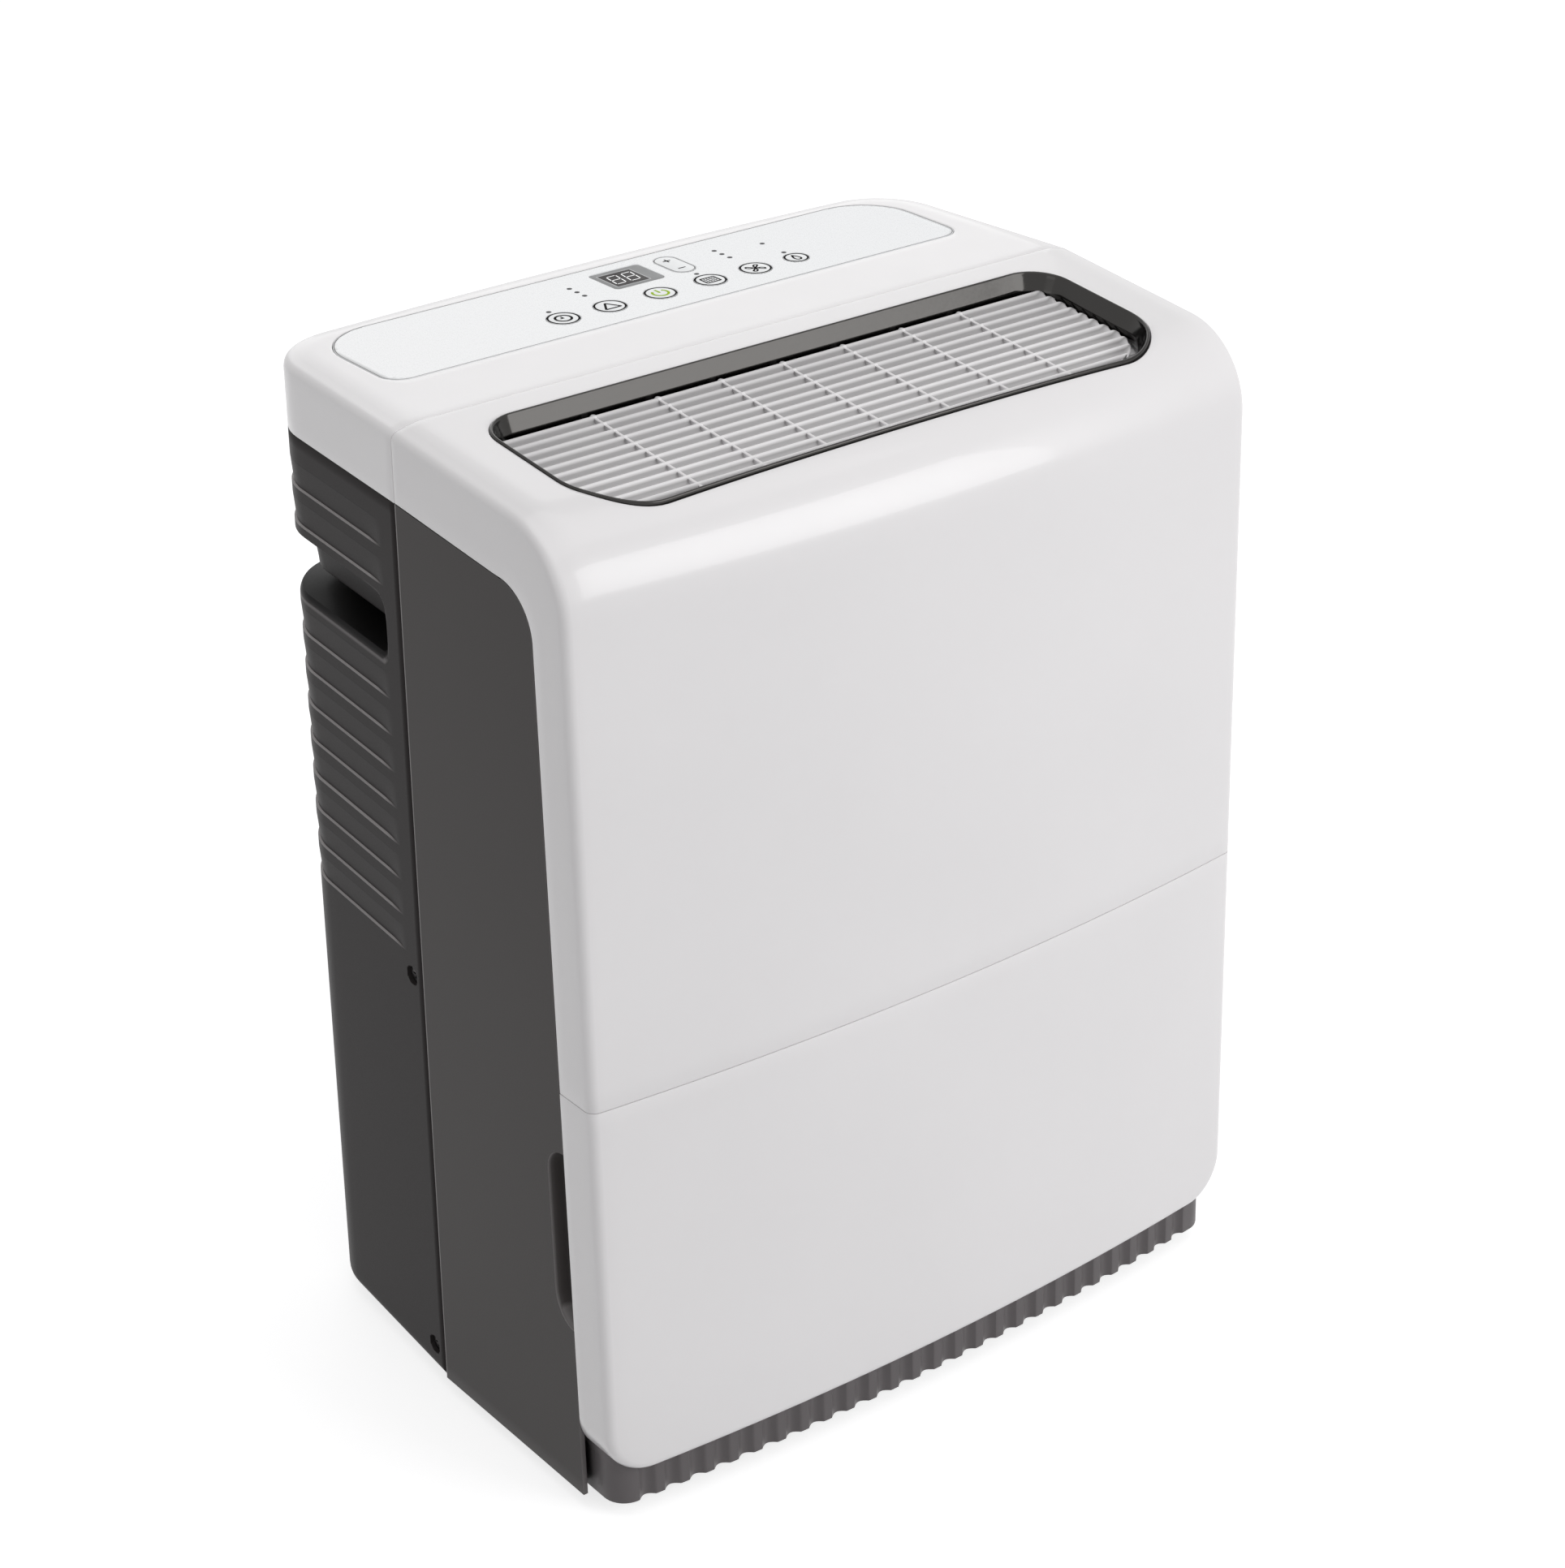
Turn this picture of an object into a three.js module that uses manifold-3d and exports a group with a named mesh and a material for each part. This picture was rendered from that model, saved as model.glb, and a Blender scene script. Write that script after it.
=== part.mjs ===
// Portable room dehumidifier: white front and top shells over dark side panels and a ribbed rear
// housing, a slide-out water bucket below, a louvred air outlet and a key panel on top.
// Millimetres. +Z up, the front faces -Y, the floor is z = 0 and the origin lies under the middle.
import * as THREE from "three";
import { mergeVertices } from "three/addons/utils/BufferGeometryUtils.js";
import Module from "manifold-3d";

const wasm = await Module();
wasm.setup();

// ---------------------------------------------------------------- driving dimensions
// Outer form
const WIDTH = 390; // across the flat side faces
const BASE_Z = 8; // lower edge of the side faces above the floor
const SIDE_TOP_Z = 504; // upper edge of the side faces
const FRONT_Y = -115; // front edge of the side faces at their upper end
const SEAM_Y = 9; // vertical joint between the front and the rear shells
const REAR_Y = 141; // rearmost point of the back wall
const FRONT_LEAN = 16; // how much further forward the front stands at its foot
const FRONT_CROWN = 11; // bow of the front across the width
const REAR_CROWN = 4; // bow of the back across the width
const REAR_TAPER = 4.7; // degrees by which each side draws in behind the seam
const REAR_CORNER_R = 38; // vertical rear corners
const EDGE_R = 4.5; // rounding where the side faces meet the top and the front
const FRONT_TOP_R = 41; // big rounding between the front and the top
const TOP_SLOPE = 5.4; // degrees by which the top falls ahead of the seam
const TOP_RISE = 2; // the top's middle stands this much above its edges
const TOP_RISE_RUN = 12; // width over which it rises
const WALL = 3; // moulded shell wall
const GAP = 0.3; // clearance between neighbouring pieces
const BAND_H = 33; // white band above the dark side panels
const BAND_W = 24; // white band ahead of the dark side panels, at the upper end
const BAND_R = 24; // corner of the dark side panel under the band
// Bucket and its bay
const BUCKET_TOP_Z = 226; // joint between the front cover and the bucket front
const BUCKET_LOW_Z = 28; // lower edge of the white bucket front
const BUCKET_CORNER_R = 24; // its lower corners
const TUB_SIDE = 14; // water tub in from the side faces
const TUB_WIDTH = WIDTH - 2 * TUB_SIDE;
const TUB_REAR_Y = -6; // back wall of the tub
const TUB_TOP_Z = BUCKET_TOP_Z - 20; // rim of the tub
const TUB_WALL = 2.6;
const TUB_R = 16; // vertical corners of the tub
const TUB_SETBACK = 6.5; // tub front behind the outer face of the bucket front
const SKIRT_SIDE = 6; // scalloped skirt below the bucket front, in from the side faces
const SKIRT_WIDTH = WIDTH - 2 * SKIRT_SIDE;
const SKIRT_SETBACK = 6; // skirt behind the outer face of the bucket front
const SKIRT_RETURN = 16; // length of the skirt's side returns
const SKIRT_END_R = 12; // rounding of its ends
const SCALLOPS = 22; // flutes across the skirt
const SCALLOP_DEPTH = 2.6;
const FLOAT_SIDE = 61; // float arm in the tub's rear corner
const FLOAT_X = TUB_WIDTH / 2 - FLOAT_SIDE;
const FLOAT_PIVOT_Y = -20;
const FLOAT_PIVOT_Z = TUB_TOP_Z - 18;
const FLOAT_PIN_R = 2.5;
const FLOAT_EAR_X = 6;
const FLOAT_PAD_W = 32; // foam pad on the arm
const FLOAT_PAD_L = 34;
const FLOAT_PAD_H = 20;
const FLOAT_REACH = 22; // from the pin to the pad
const FLOAT_ARM_H = 10;
const SLOT_LOW_Z = 100; // finger slot in each side panel beside the bucket
const SLOT_HIGH_Z = BUCKET_TOP_Z - 32;
const SLOT_W = 13; // its reach behind the bucket front
const SLOT_DEPTH = 9;
// Base and casters
const DECK_Z = 38; // upper face of the base deck that carries the bucket
const DECK_T = 3.5;
const BASE_FRONT_Y = FRONT_Y + 17;
const BASE_RIM = 3; // thickness of the downturned rim
const CASTER_INSET = 45; // swivel axes in from the side faces
const CASTER_X = WIDTH / 2 - CASTER_INSET;
const CASTER_FRONT_Y = BASE_FRONT_Y + 30;
const CASTER_REAR_Y = 92;
const WHEEL_R = 12;
const WHEEL_W = 11;
const WHEEL_SIDES = 14;
const AXLE_R = 2.2;
const AXLE_SIDES = 8;
const CASTER_TRAIL = 5;
const FORK_T = 2;
const STEM_R = 4;
const STEM_H = 9;
const RUNNING = 0.06; // radial play of turning fits
// Rear housing
const RIB_PITCH = 18.5; // clapboard ribs
const RIB_FIRST_Z = 234.5; // lowest rib line
const RIBS_HIGH = 2; // rib lines above it
const RIB_HIGH_Z = SIDE_TOP_Z - 84.5; // lower one of those above the grip
const RIB_IN = 1.2; // above its ledge each board draws in this much
const RIB_RUN = 12.7; // height over which it comes out again
const RIB_START = 11; // smooth strip left beside the seam
const GRIP_HIGH_Z = SIDE_TOP_Z - 74; // hand grip recess
const GRIP_H = 73;
const GRIP_LOW_Z = GRIP_HIGH_Z - GRIP_H;
const GRIP_FRONT_Y = 23;
const GRIP_DEPTH = 9.5; // down to the flap that the fingers reach behind
const GRIP_BACK_X = 150; // the recess runs round the corner to here
const GRIP_R = 9;
const POCKET_H = 34; // mouth of the deep pocket, from the foot of the recess
const POCKET_HIGH_Z = GRIP_LOW_Z + POCKET_H;
const RIBS_LOW = Math.floor((POCKET_HIGH_Z - RIB_FIRST_Z) / RIB_PITCH); // rib lines below the grip
const POCKET_DEPTH = 19; // beyond the flap
const POCKET_RISE = 16; // the pocket rises behind the flap
const POCKET_REAR_Y = 112;
const INTAKE_W = 284; // intake window in the back wall
const INTAKE_LOW_Z = 212;
const INTAKE_HIGH_Z = SIDE_TOP_Z - 52;
const INTAKE_R = 12;
const INTAKE_BARS = 12; // horizontal bars of the intake grille
const BAR_H = 3.2;
const GRILLE_T = 5; // depth of the intake grille
const SCREW_LOW_Z = 21.5; // side screws
const SCREW_HIGH_Z = 231;
const SCREW_Y = 19.5;
const SCREW_R = 4.2;
const SCREW_SINK = 2.2;
const SCREW_SIDES = 10;
// Top panel
const PANEL_W = 331; // silver key panel sheet
const PANEL_FRONT_Y = 53.5;
const PANEL_REAR_Y = 124;
const PANEL_REAR_R = 30;
const PANEL_FRONT_R = 11;
const SHEET_T = 1;
const TRAY_H = 17; // key tray below the sheet
const KEY_ROW_Y = 74.8;
const KEY_R = 7.9;
const PUMP_KEY_R = 6.2;
const KEY_X = { timer: -58.6, mode: -32.2, power: -3.1, filter: 26.3, fan: 53.3, pump: 78.1 };
const KEY_H = 4.2;
const KEY_STALK_R = 3;
const KEY_PLAY = 0.25; // round the keys and lamps in the sheet
const KEY_SIDES = 12;
const LAMP_SIDES = 6;
const KEY_TRAVEL = 0.8;
const ROCKER_X = 26.3;
const ROCKER_Y = 103.4;
const ROCKER_L = 25;
const ROCKER_W = 12.4;
const DISPLAY_X = -1.9; // display window
const DISPLAY_Y = 103.4;
const DISPLAY_W = 28.6;
const DISPLAY_L = 24;
const DISPLAY_R = 2.4;
const DISPLAY_H = 4;
const LAMP_R = 1.4;
const LAMPS = [
  [-59, 86],
  [-33, 106.4],
  [-33, 100.2],
  [-33, 94],
  [26.3, 85.7],
  [53.3, 107.4],
  [53.3, 101.2],
  [53.3, 95],
  [78.1, 84.4],
  [78.1, 101.4],
];
// Air outlet
const OUTLET_W = 327; // outside of the outlet bezel
const OUTLET_FRONT_Y = FRONT_Y + 12;
const OUTLET_REAR_Y = -6;
const OUTLET_FRONT_R = 34;
const OUTLET_REAR_R = 20;
const BEZEL_LIP = 1.6;
const BEZEL_DEPTH = 7.5;
const BEZEL_DRAFT = 3.5; // the inner wall draws in by this much
const BEZEL_FOOT = 3; // flat foot below the draft
const BLADE_PITCH = 7.55; // cove-shaped blades, each one's tail under the rim of the next
const BLADE_RIM = 1.2; // flat rim along each blade's rear edge
const BLADE_DROP = 3; // depth of the cove ahead of it
const BLADE_RUN = 8; // from the rim's rear edge to the tail
const BLADE_T = 1.5;
const BLADE_END_GAP = 3.1; // blade ends to the bezel
const BLADE_REAR_GAP = 0.6; // rearmost rim behind the edge of the grille
const BLADE_FIELD = OUTLET_REAR_Y - OUTLET_FRONT_Y - 2 * (BEZEL_LIP + BEZEL_DRAFT + BLADE_END_GAP);
const BLADES = Math.round((BLADE_FIELD - BLADE_REAR_GAP) / BLADE_PITCH);
const BLADE_SINK = 7; // rims below the bezel's lip
const LOUVRE_RIBS = 7;
const LOUVRE_RIB_PITCH = 35.1;
const LOUVRE_RIB_T = 1.7;
const LOUVRE_RIB_DROP = 1.3; // ribs below the rims
const LOUVRE_RING_T = 3; // ring that the ribs run into
// Inside
const SHELF_Z = BUCKET_TOP_Z - 4; // ceiling of the bucket bay
const SHELF_T = 3;
const SUMP_X = -60; // drain well through the shelf into the bucket
const SUMP_Y = -50;
const SUMP_R = 9;
const PARTITION_Y = 2; // wall behind the bucket bay
const FAN_FOOT = 36; // fan wheel above the shelf
const FAN_HEAD = 78; // room over it for the outlet
const FAN_R = (SIDE_TOP_Z - SHELF_Z - FAN_FOOT - FAN_HEAD) / 2;
const FAN_Z = SHELF_Z + FAN_FOOT + FAN_R;
const FAN_W = 44;
const FAN_BLADES = 12;
const FAN_SIDES = 16;
const SCROLL_FRONT_Y = FRONT_Y + 27;
const SCROLL_REAR_Y = -14;
const SCROLL_WALL = 2.4;
const SCROLL_FOOT = 120; // width of its foot on the shelf
const SHAFT_R = 4;
const SHAFT_SIDES = 12;
const MOTOR_R = 40;
const MOTOR_L = 28;
const COIL_SIDE = 61; // coils in from the side faces
const COIL_W = WIDTH - 2 * COIL_SIDE;
const COIL_T = 20;
const COIL_LOW_Z = SHELF_Z - 8;
const COIL_HIGH_Z = INTAKE_HIGH_Z - 4;
const CONDENSER_Y = 40; // middle planes of the coils
const EVAPORATOR_Y = REAR_Y - 57;
const FINS = 12;
const TRAY_T = 2; // floor of the drip tray under the coils
const PIPE_R = 4;
const PIPE_ROWS = 4;
const COMPRESSOR_R = 52;
const COMPRESSOR_SIDE = 103; // its axis in from the side face
const COMPRESSOR_X = WIDTH / 2 - COMPRESSOR_SIDE;
const COMPRESSOR_Y = 68;
const COMPRESSOR_H = 140;
const COMPRESSOR_LIFT = 8; // on its rubber mounts
const SUCTION_DROP = 40; // suction line below the compressor's crown
const BEND_REACH = 9; // return bends past the end plates
const SUCTION_BESIDE = 8; // suction line beside the compressor and the bends
const SUCTION_X = Math.max(COMPRESSOR_X + COMPRESSOR_R, COIL_W / 2 + BEND_REACH + 1) + SUCTION_BESIDE;
const POWER_SIDE = 23; // power box in from the side face
const POWER_W = 52;
const POWER_L = 88;
const POWER_H = 84;
const POWER_Y = 20;
const CAPACITOR_R = 17;
const CAPACITOR_H = 63;
const PUMP_W = 56;
const PUMP_BESIDE = 12; // pump beside the power box
const PUMP_X = -WIDTH / 2 + POWER_SIDE + POWER_W + PUMP_BESIDE + PUMP_W / 2;
const PUMP_Y = 63;
const PUMP_L = 58;
const PUMP_H = 46;
const PUMP_MOTOR_R = 18;
const PUMP_MOTOR_H = 36;
const SWITCH_BESIDE = 28; // bucket switch beside the float arm
const SWITCH_X = FLOAT_X - SWITCH_BESIDE;
const SWITCH_Y = -22;
const SWITCH_W = 24;
const SWITCH_L = 16;
const SWITCH_H = 12;

// ---------------------------------------------------------------- derived places
const HALF = WIDTH / 2;
const TAN_TAPER = Math.tan(THREE.MathUtils.degToRad(REAR_TAPER));
const TAN_SLOPE = Math.tan(THREE.MathUtils.degToRad(TOP_SLOPE));
const LEAN = FRONT_LEAN / (SIDE_TOP_Z - BASE_Z);
const TOP_Z = SIDE_TOP_Z + TOP_RISE;
const BAND_Z = SIDE_TOP_Z - BAND_H;
const COIL_SHELF_Z = COIL_LOW_Z - TRAY_T - 2 * GAP;
const CLEAR = 2 * WIDTH; // well past every surface, for cutters
const EDGE_STEPS = 3;
const ARC_STEPS = 4;

// ---------------------------------------------------------------- materials
function plastic(hex, roughness) {
  return new THREE.MeshStandardMaterial({ color: hex, roughness, metalness: 0 });
}
function metal(hex, roughness) {
  return new THREE.MeshStandardMaterial({ color: hex, roughness, metalness: 1 });
}
const WHITE = plastic(0xebe9ea, 0.28);
const DARK = plastic(0x464143, 0.5);
const TUB_GREY = plastic(0x6a6567, 0.5);
const SILVER = plastic(0xe8ebeb, 0.3);
const CHROME = metal(0x9a9a98, 0.18);
const BLADE_GREY = plastic(0xc4c2c4, 0.4);
const BLACK = plastic(0x17171a, 0.35);
const SMOKED = plastic(0x2c2829, 0.12);
const LAMP = plastic(0x55565a, 0.3);
const STEEL = metal(0xb4b4b2, 0.35);
const ALUMINIUM = metal(0xc6c8ca, 0.4);
const COPPER = metal(0xb87348, 0.35);
const PCB = plastic(0x2c6a45, 0.5);
const FOAM = plastic(0xf1efe9, 0.8);
const TYRE = plastic(0x2a2a2c, 0.7);

// ---------------------------------------------------------------- solids
// A closed three.js geometry as a solid for cutting and joining.
function solid(geometry) {
  const bare = geometry.index ? geometry.toNonIndexed() : geometry.clone();
  bare.deleteAttribute("normal");
  bare.deleteAttribute("uv");
  const merged = mergeVertices(bare, 1e-4);
  return new wasm.Manifold(
    new wasm.Mesh({
      numProp: 3,
      vertProperties: new Float32Array(merged.attributes.position.array),
      triVerts: new Uint32Array(merged.index.array),
    }),
  );
}

// A solid back to a geometry.
function geometryOf(body) {
  const mesh = body.getMesh();
  const geometry = new THREE.BufferGeometry();
  geometry.setAttribute("position", new THREE.BufferAttribute(mesh.vertProperties, 3));
  geometry.setIndex(new THREE.BufferAttribute(mesh.triVerts, 1));
  geometry.computeVertexNormals();
  return geometry;
}

function join(bodies) {
  return bodies.reduce((a, b) => a.add(b));
}

function cut(body, cutters) {
  return cutters.reduce((a, b) => a.subtract(b), body);
}

// An axis-aligned block from its low and its high corner.
function block(x0, x1, y0, y1, z0, z1) {
  const g = new THREE.BoxGeometry(x1 - x0, y1 - y0, z1 - z0);
  g.translate((x0 + x1) / 2, (y0 + y1) / 2, (z0 + z1) / 2);
  return solid(g);
}

// A round bar along X, Y or Z from one coordinate to another, through a point of the other two.
function bar(axis, r, from, to, a, b, sides = 16, r2 = r, start = 0) {
  const g = new THREE.CylinderGeometry(r2, r, to - from, sides, 1, false, start);
  const mid = (from + to) / 2;
  if (axis === "x") g.rotateZ(-Math.PI / 2).translate(mid, a, b);
  if (axis === "y") g.translate(a, mid, b);
  if (axis === "z") g.rotateX(Math.PI / 2).translate(a, b, mid);
  return solid(g);
}

// A round cutter whose flats, not its corners, lie at the radius.
function bored(axis, r, from, to, a, b, sides = 16) {
  return bar(axis, r / Math.cos(Math.PI / sides), from, to, a, b, sides);
}

// A flat outline drawn in (u, v) and pushed along the third axis.
// Along x: (u, v) = (y, z). Along y: (u, v) = (x, z). Along z: (u, v) = (x, y).
function prism(axis, outline, from, to) {
  const points = outline.map((p) => new THREE.Vector2(p[0], p[1]));
  const g = new THREE.ExtrudeGeometry(new THREE.Shape(points), {
    depth: to - from,
    bevelEnabled: false,
  });
  if (axis === "x") {
    g.rotateX(Math.PI / 2).rotateZ(Math.PI / 2).translate(from, 0, 0);
  }
  if (axis === "y") g.rotateX(Math.PI / 2).translate(0, to, 0);
  if (axis === "z") g.translate(0, 0, from);
  return solid(g);
}

// A skin over closed rings of equal point count, with a flat cap at each end.
// flat names the two coordinates that the end caps are drawn in.
function loft(rings, flat) {
  const n = rings[0].length;
  const flatten = (ring) => ring.map((p) => new THREE.Vector2(p[flat[0]], p[flat[1]]));
  const faces = [];
  for (let k = 0; k + 1 < rings.length; k++) {
    for (let i = 0; i < n; i++) {
      const a = k * n + i;
      const b = k * n + ((i + 1) % n);
      faces.push([a, b, b + n], [a, b + n, a + n]);
    }
  }
  const clockwise = THREE.ShapeUtils.area(flatten(rings[0])) < 0;
  for (const k of [0, rings.length - 1]) {
    const outline = flatten(rings[k]);
    const order = outline.map((_, i) => i);
    if (clockwise) order.reverse();
    const cap = THREE.ShapeUtils.triangulateShape(
      order.map((i) => outline[i]),
      [],
    );
    for (const f of cap) {
      const t = f.map((i) => k * n + order[i]);
      if ((k === 0) !== clockwise) t.reverse();
      faces.push(t);
    }
  }
  const corner = rings.flat().map((p) => new THREE.Vector3(p[0], p[1], p[2]));
  const six = faces.reduce((v, f) => v + corner[f[0]].dot(corner[f[1]].clone().cross(corner[f[2]])), 0);
  if (six < 0) faces.forEach((f) => f.reverse());
  const g = new THREE.BufferGeometry();
  g.setAttribute("position", new THREE.Float32BufferAttribute(rings.flat(2), 3));
  g.setIndex(faces.flat());
  return solid(g);
}

// A solid of revolution about a vertical axis, from a profile of [radius, z] that ends on the axis.
function turned(profile, x, y, sides = 24) {
  const points = profile.map((p) => new THREE.Vector2(p[0], p[1]));
  const g = new THREE.LatheGeometry(points, sides);
  g.rotateX(Math.PI / 2).translate(x, y, 0);
  return solid(g);
}

// A round tube along a curve, closed at its ends.
function tube(points, r, sides = 8, steps = 24) {
  const curve = new THREE.CatmullRomCurve3(points.map((p) => new THREE.Vector3(...p)));
  const ring = [];
  for (let i = 0; i < sides; i++) {
    const a = (i / sides) * 2 * Math.PI;
    ring.push(new THREE.Vector2(r * Math.cos(a), r * Math.sin(a)));
  }
  const g = new THREE.ExtrudeGeometry(new THREE.Shape(ring), { extrudePath: curve, steps });
  return solid(g);
}

// A rectangle with its own radius at the low and at the high end of v, as an outline.
function roundedOutline(u0, u1, v0, v1, rLow, rHigh, steps = 4) {
  const corners = [
    [u1 - rLow, v0 + rLow, rLow, -90],
    [u1 - rHigh, v1 - rHigh, rHigh, 0],
    [u0 + rHigh, v1 - rHigh, rHigh, 90],
    [u0 + rLow, v0 + rLow, rLow, 180],
  ];
  const outline = [];
  for (const [u, v, r, start] of corners) {
    for (let i = 0; i <= steps; i++) {
      const a = THREE.MathUtils.degToRad(start + (90 * i) / steps);
      outline.push([u + r * Math.cos(a), v + r * Math.sin(a)]);
    }
  }
  return outline;
}

// ---------------------------------------------------------------- shared outer form
// Rounding and gentle rise of the top at a distance in from the side edge.
function edgeSteps() {
  const steps = [];
  for (let i = 0; i <= EDGE_STEPS; i++) {
    const a = (i / EDGE_STEPS) * (Math.PI / 2);
    steps.push({ run: EDGE_R * (1 - Math.cos(a)), drop: EDGE_R * (1 - Math.sin(a)), rise: 0 });
  }
  steps.push({ run: EDGE_R + TOP_RISE_RUN / 2, drop: 0, rise: TOP_RISE * 0.75 });
  steps.push({ run: EDGE_R + TOP_RISE_RUN, drop: 0, rise: TOP_RISE });
  return steps;
}

// Front face at a height: it leans forward towards the foot and bows forward in the middle.
function frontAt(x, z) {
  const bow = FRONT_CROWN * (1 - (x / HALF) ** 2);
  return FRONT_Y - LEAN * (SIDE_TOP_Z - z) - bow;
}

// Where the dark side panel ends and the white band ahead of it begins.
function bandAt(z) {
  return FRONT_Y + BAND_W - LEAN * (SIDE_TOP_Z - z);
}

// The top ahead of the seam.
function slopeAt(y, rise = TOP_RISE) {
  return SIDE_TOP_Z + rise - TAN_SLOPE * (SEAM_Y - y);
}

// Centre of a circle of radius r that touches the leaning front line and the sloping top line.
function frontCornerCentre(y0, z0, r) {
  const n1 = new THREE.Vector2(1, -LEAN).normalize();
  const n2 = new THREE.Vector2(TAN_SLOPE, -1).normalize();
  const d1 = n1.dot(new THREE.Vector2(y0, SIDE_TOP_Z)) + r;
  const d2 = n2.dot(new THREE.Vector2(SEAM_Y, z0)) + r;
  const det = n1.x * n2.y - n1.y * n2.x;
  const y = (d1 * n2.y - d2 * n1.y) / det;
  const z = (n1.x * d2 - n2.x * d1) / det;
  return { y, z, from: Math.atan2(-n1.y, -n1.x), to: Math.atan2(-n2.y, -n2.x) };
}

// Side view of the front form at one width station, drawn in by a wall or a rounding.
function frontSection(x, inset, rise, zLow, yBack) {
  const y0 = frontAt(x, SIDE_TOP_Z) + inset * Math.hypot(1, LEAN);
  const z0 = SIDE_TOP_Z + rise - inset * Math.hypot(1, TAN_SLOPE);
  const r = FRONT_TOP_R - inset;
  const c = frontCornerCentre(y0, z0, r);
  const from = c.from < 0 ? c.from + 2 * Math.PI : c.from;
  const ring = [[x, y0 - LEAN * (SIDE_TOP_Z - zLow), zLow]];
  for (let i = 0; i <= ARC_STEPS; i++) {
    const a = from + ((c.to - from) * i) / ARC_STEPS;
    ring.push([x, c.y + r * Math.cos(a), c.z + r * Math.sin(a)]);
  }
  ring.push([x, yBack, z0 - TAN_SLOPE * (SEAM_Y - yBack)]);
  ring.push([x, yBack, zLow]);
  return ring;
}

// Width stations of the outer skin and how far each one is drawn in.
function frontStations() {
  const side = edgeSteps().map((s) => ({ x: HALF - s.run, inset: s.drop, rise: s.rise }));
  const middle = [0.66, 0.33, 0].map((f) => ({ x: HALF * f, inset: 0, rise: TOP_RISE }));
  const right = [...side, ...middle];
  const left = right.slice(0, -1).map((s) => ({ ...s, x: -s.x }));
  return [...left, ...right.reverse()];
}

// The front form as a solid block, from a lower level up to the top and back to a plane.
function frontForm(zLow, yBack) {
  return loft(
    frontStations().map((s) => frontSection(s.x, s.inset, s.rise, zLow, yBack)),
    [1, 2],
  );
}

// The same form drawn in by the wall, to hollow it out.
function frontCore(zLow, yBack) {
  const stations = [-1, -0.66, -0.33, 0, 0.33, 0.66, 1].map((f) => (HALF - WALL) * f);
  return loft(
    stations.map((x) => frontSection(x, WALL, TOP_RISE, zLow, yBack)),
    [1, 2],
  );
}

// Plan view of the rear form, drawn in by inset and let out again by bulge behind the smooth strip.
function rearOutline(inset, z, yFront, bulge = 0) {
  const taper = THREE.MathUtils.degToRad(REAR_TAPER);
  const sideX = (y, d) => HALF - d / Math.cos(taper) - TAN_TAPER * (y - SEAM_Y);
  const d = inset - bulge;
  const yWall = REAR_Y - REAR_CROWN - d;
  const r = REAR_CORNER_R - d;
  const cy = yWall - r;
  const cx = sideX(cy, d) - r / Math.cos(taper);
  const right = [[sideX(yFront, inset), yFront]];
  const strip = SEAM_Y + RIB_START;
  if (strip > yFront + 1) right.push([sideX(strip, inset), strip]);
  if (strip > yFront - 1) right.push([sideX(strip + 2, d), strip + 2]);
  for (let i = 0; i <= ARC_STEPS; i++) {
    const a = taper + ((Math.PI / 2 - taper) * i) / ARC_STEPS;
    right.push([cx + r * Math.cos(a), cy + r * Math.sin(a)]);
  }
  right.push([cx / 2, yWall + REAR_CROWN * 0.75]);
  const left = right.map((p) => [-p[0], p[1]]).reverse();
  return [...right, [0, yWall + REAR_CROWN], ...left].map((p) => [p[0], p[1], z]);
}

function rearForm(inset, z0, z1, yFront) {
  return loft([rearOutline(inset, z0, yFront), rearOutline(inset, z1, yFront)], [0, 1]);
}

// Plane that a flange on the curved back wall lies on.
function seatAt(x, r) {
  return Math.max(backAt(x - r), backAt(x + r)) + GAP;
}

// Back wall's outer face at a place across the width.
function backAt(x) {
  const outline = rearOutline(0, 0, SEAM_Y);
  for (let i = 0; i + 1 < outline.length; i++) {
    const [x0, y0] = outline[i];
    const [x1, y1] = outline[i + 1];
    if (x <= x0 && x >= x1 && y0 > REAR_Y - 2 * REAR_CROWN - 1) {
      return y0 + ((y1 - y0) * (x0 - x)) / Math.max(x0 - x1, 1e-6);
    }
  }
  return REAR_Y;
}

// ---------------------------------------------------------------- outer shells
// Side view outline of the dark front side panel, let out by a clearance.
function sidePanelOutline(grow = 0) {
  const n = 5;
  const zLow = BASE_Z - grow;
  const zTop = (y) => slopeAt(y, 0) - BAND_H + grow;
  const cz = zTop(bandAt(BAND_Z) + BAND_R) - BAND_R;
  const cy = bandAt(cz) - grow + BAND_R;
  const outline = [
    [SEAM_Y - GAP / 2 + grow, zLow],
    [SEAM_Y - GAP / 2 + grow, zTop(SEAM_Y)],
  ];
  for (let i = 0; i <= n; i++) {
    const a = Math.PI / 2 + ((Math.PI / 2) * i) / n;
    outline.push([cy + BAND_R * Math.cos(a), cz + BAND_R * Math.sin(a)]);
  }
  outline.push([bandAt(zLow) - grow, zLow]);
  return outline;
}

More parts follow.
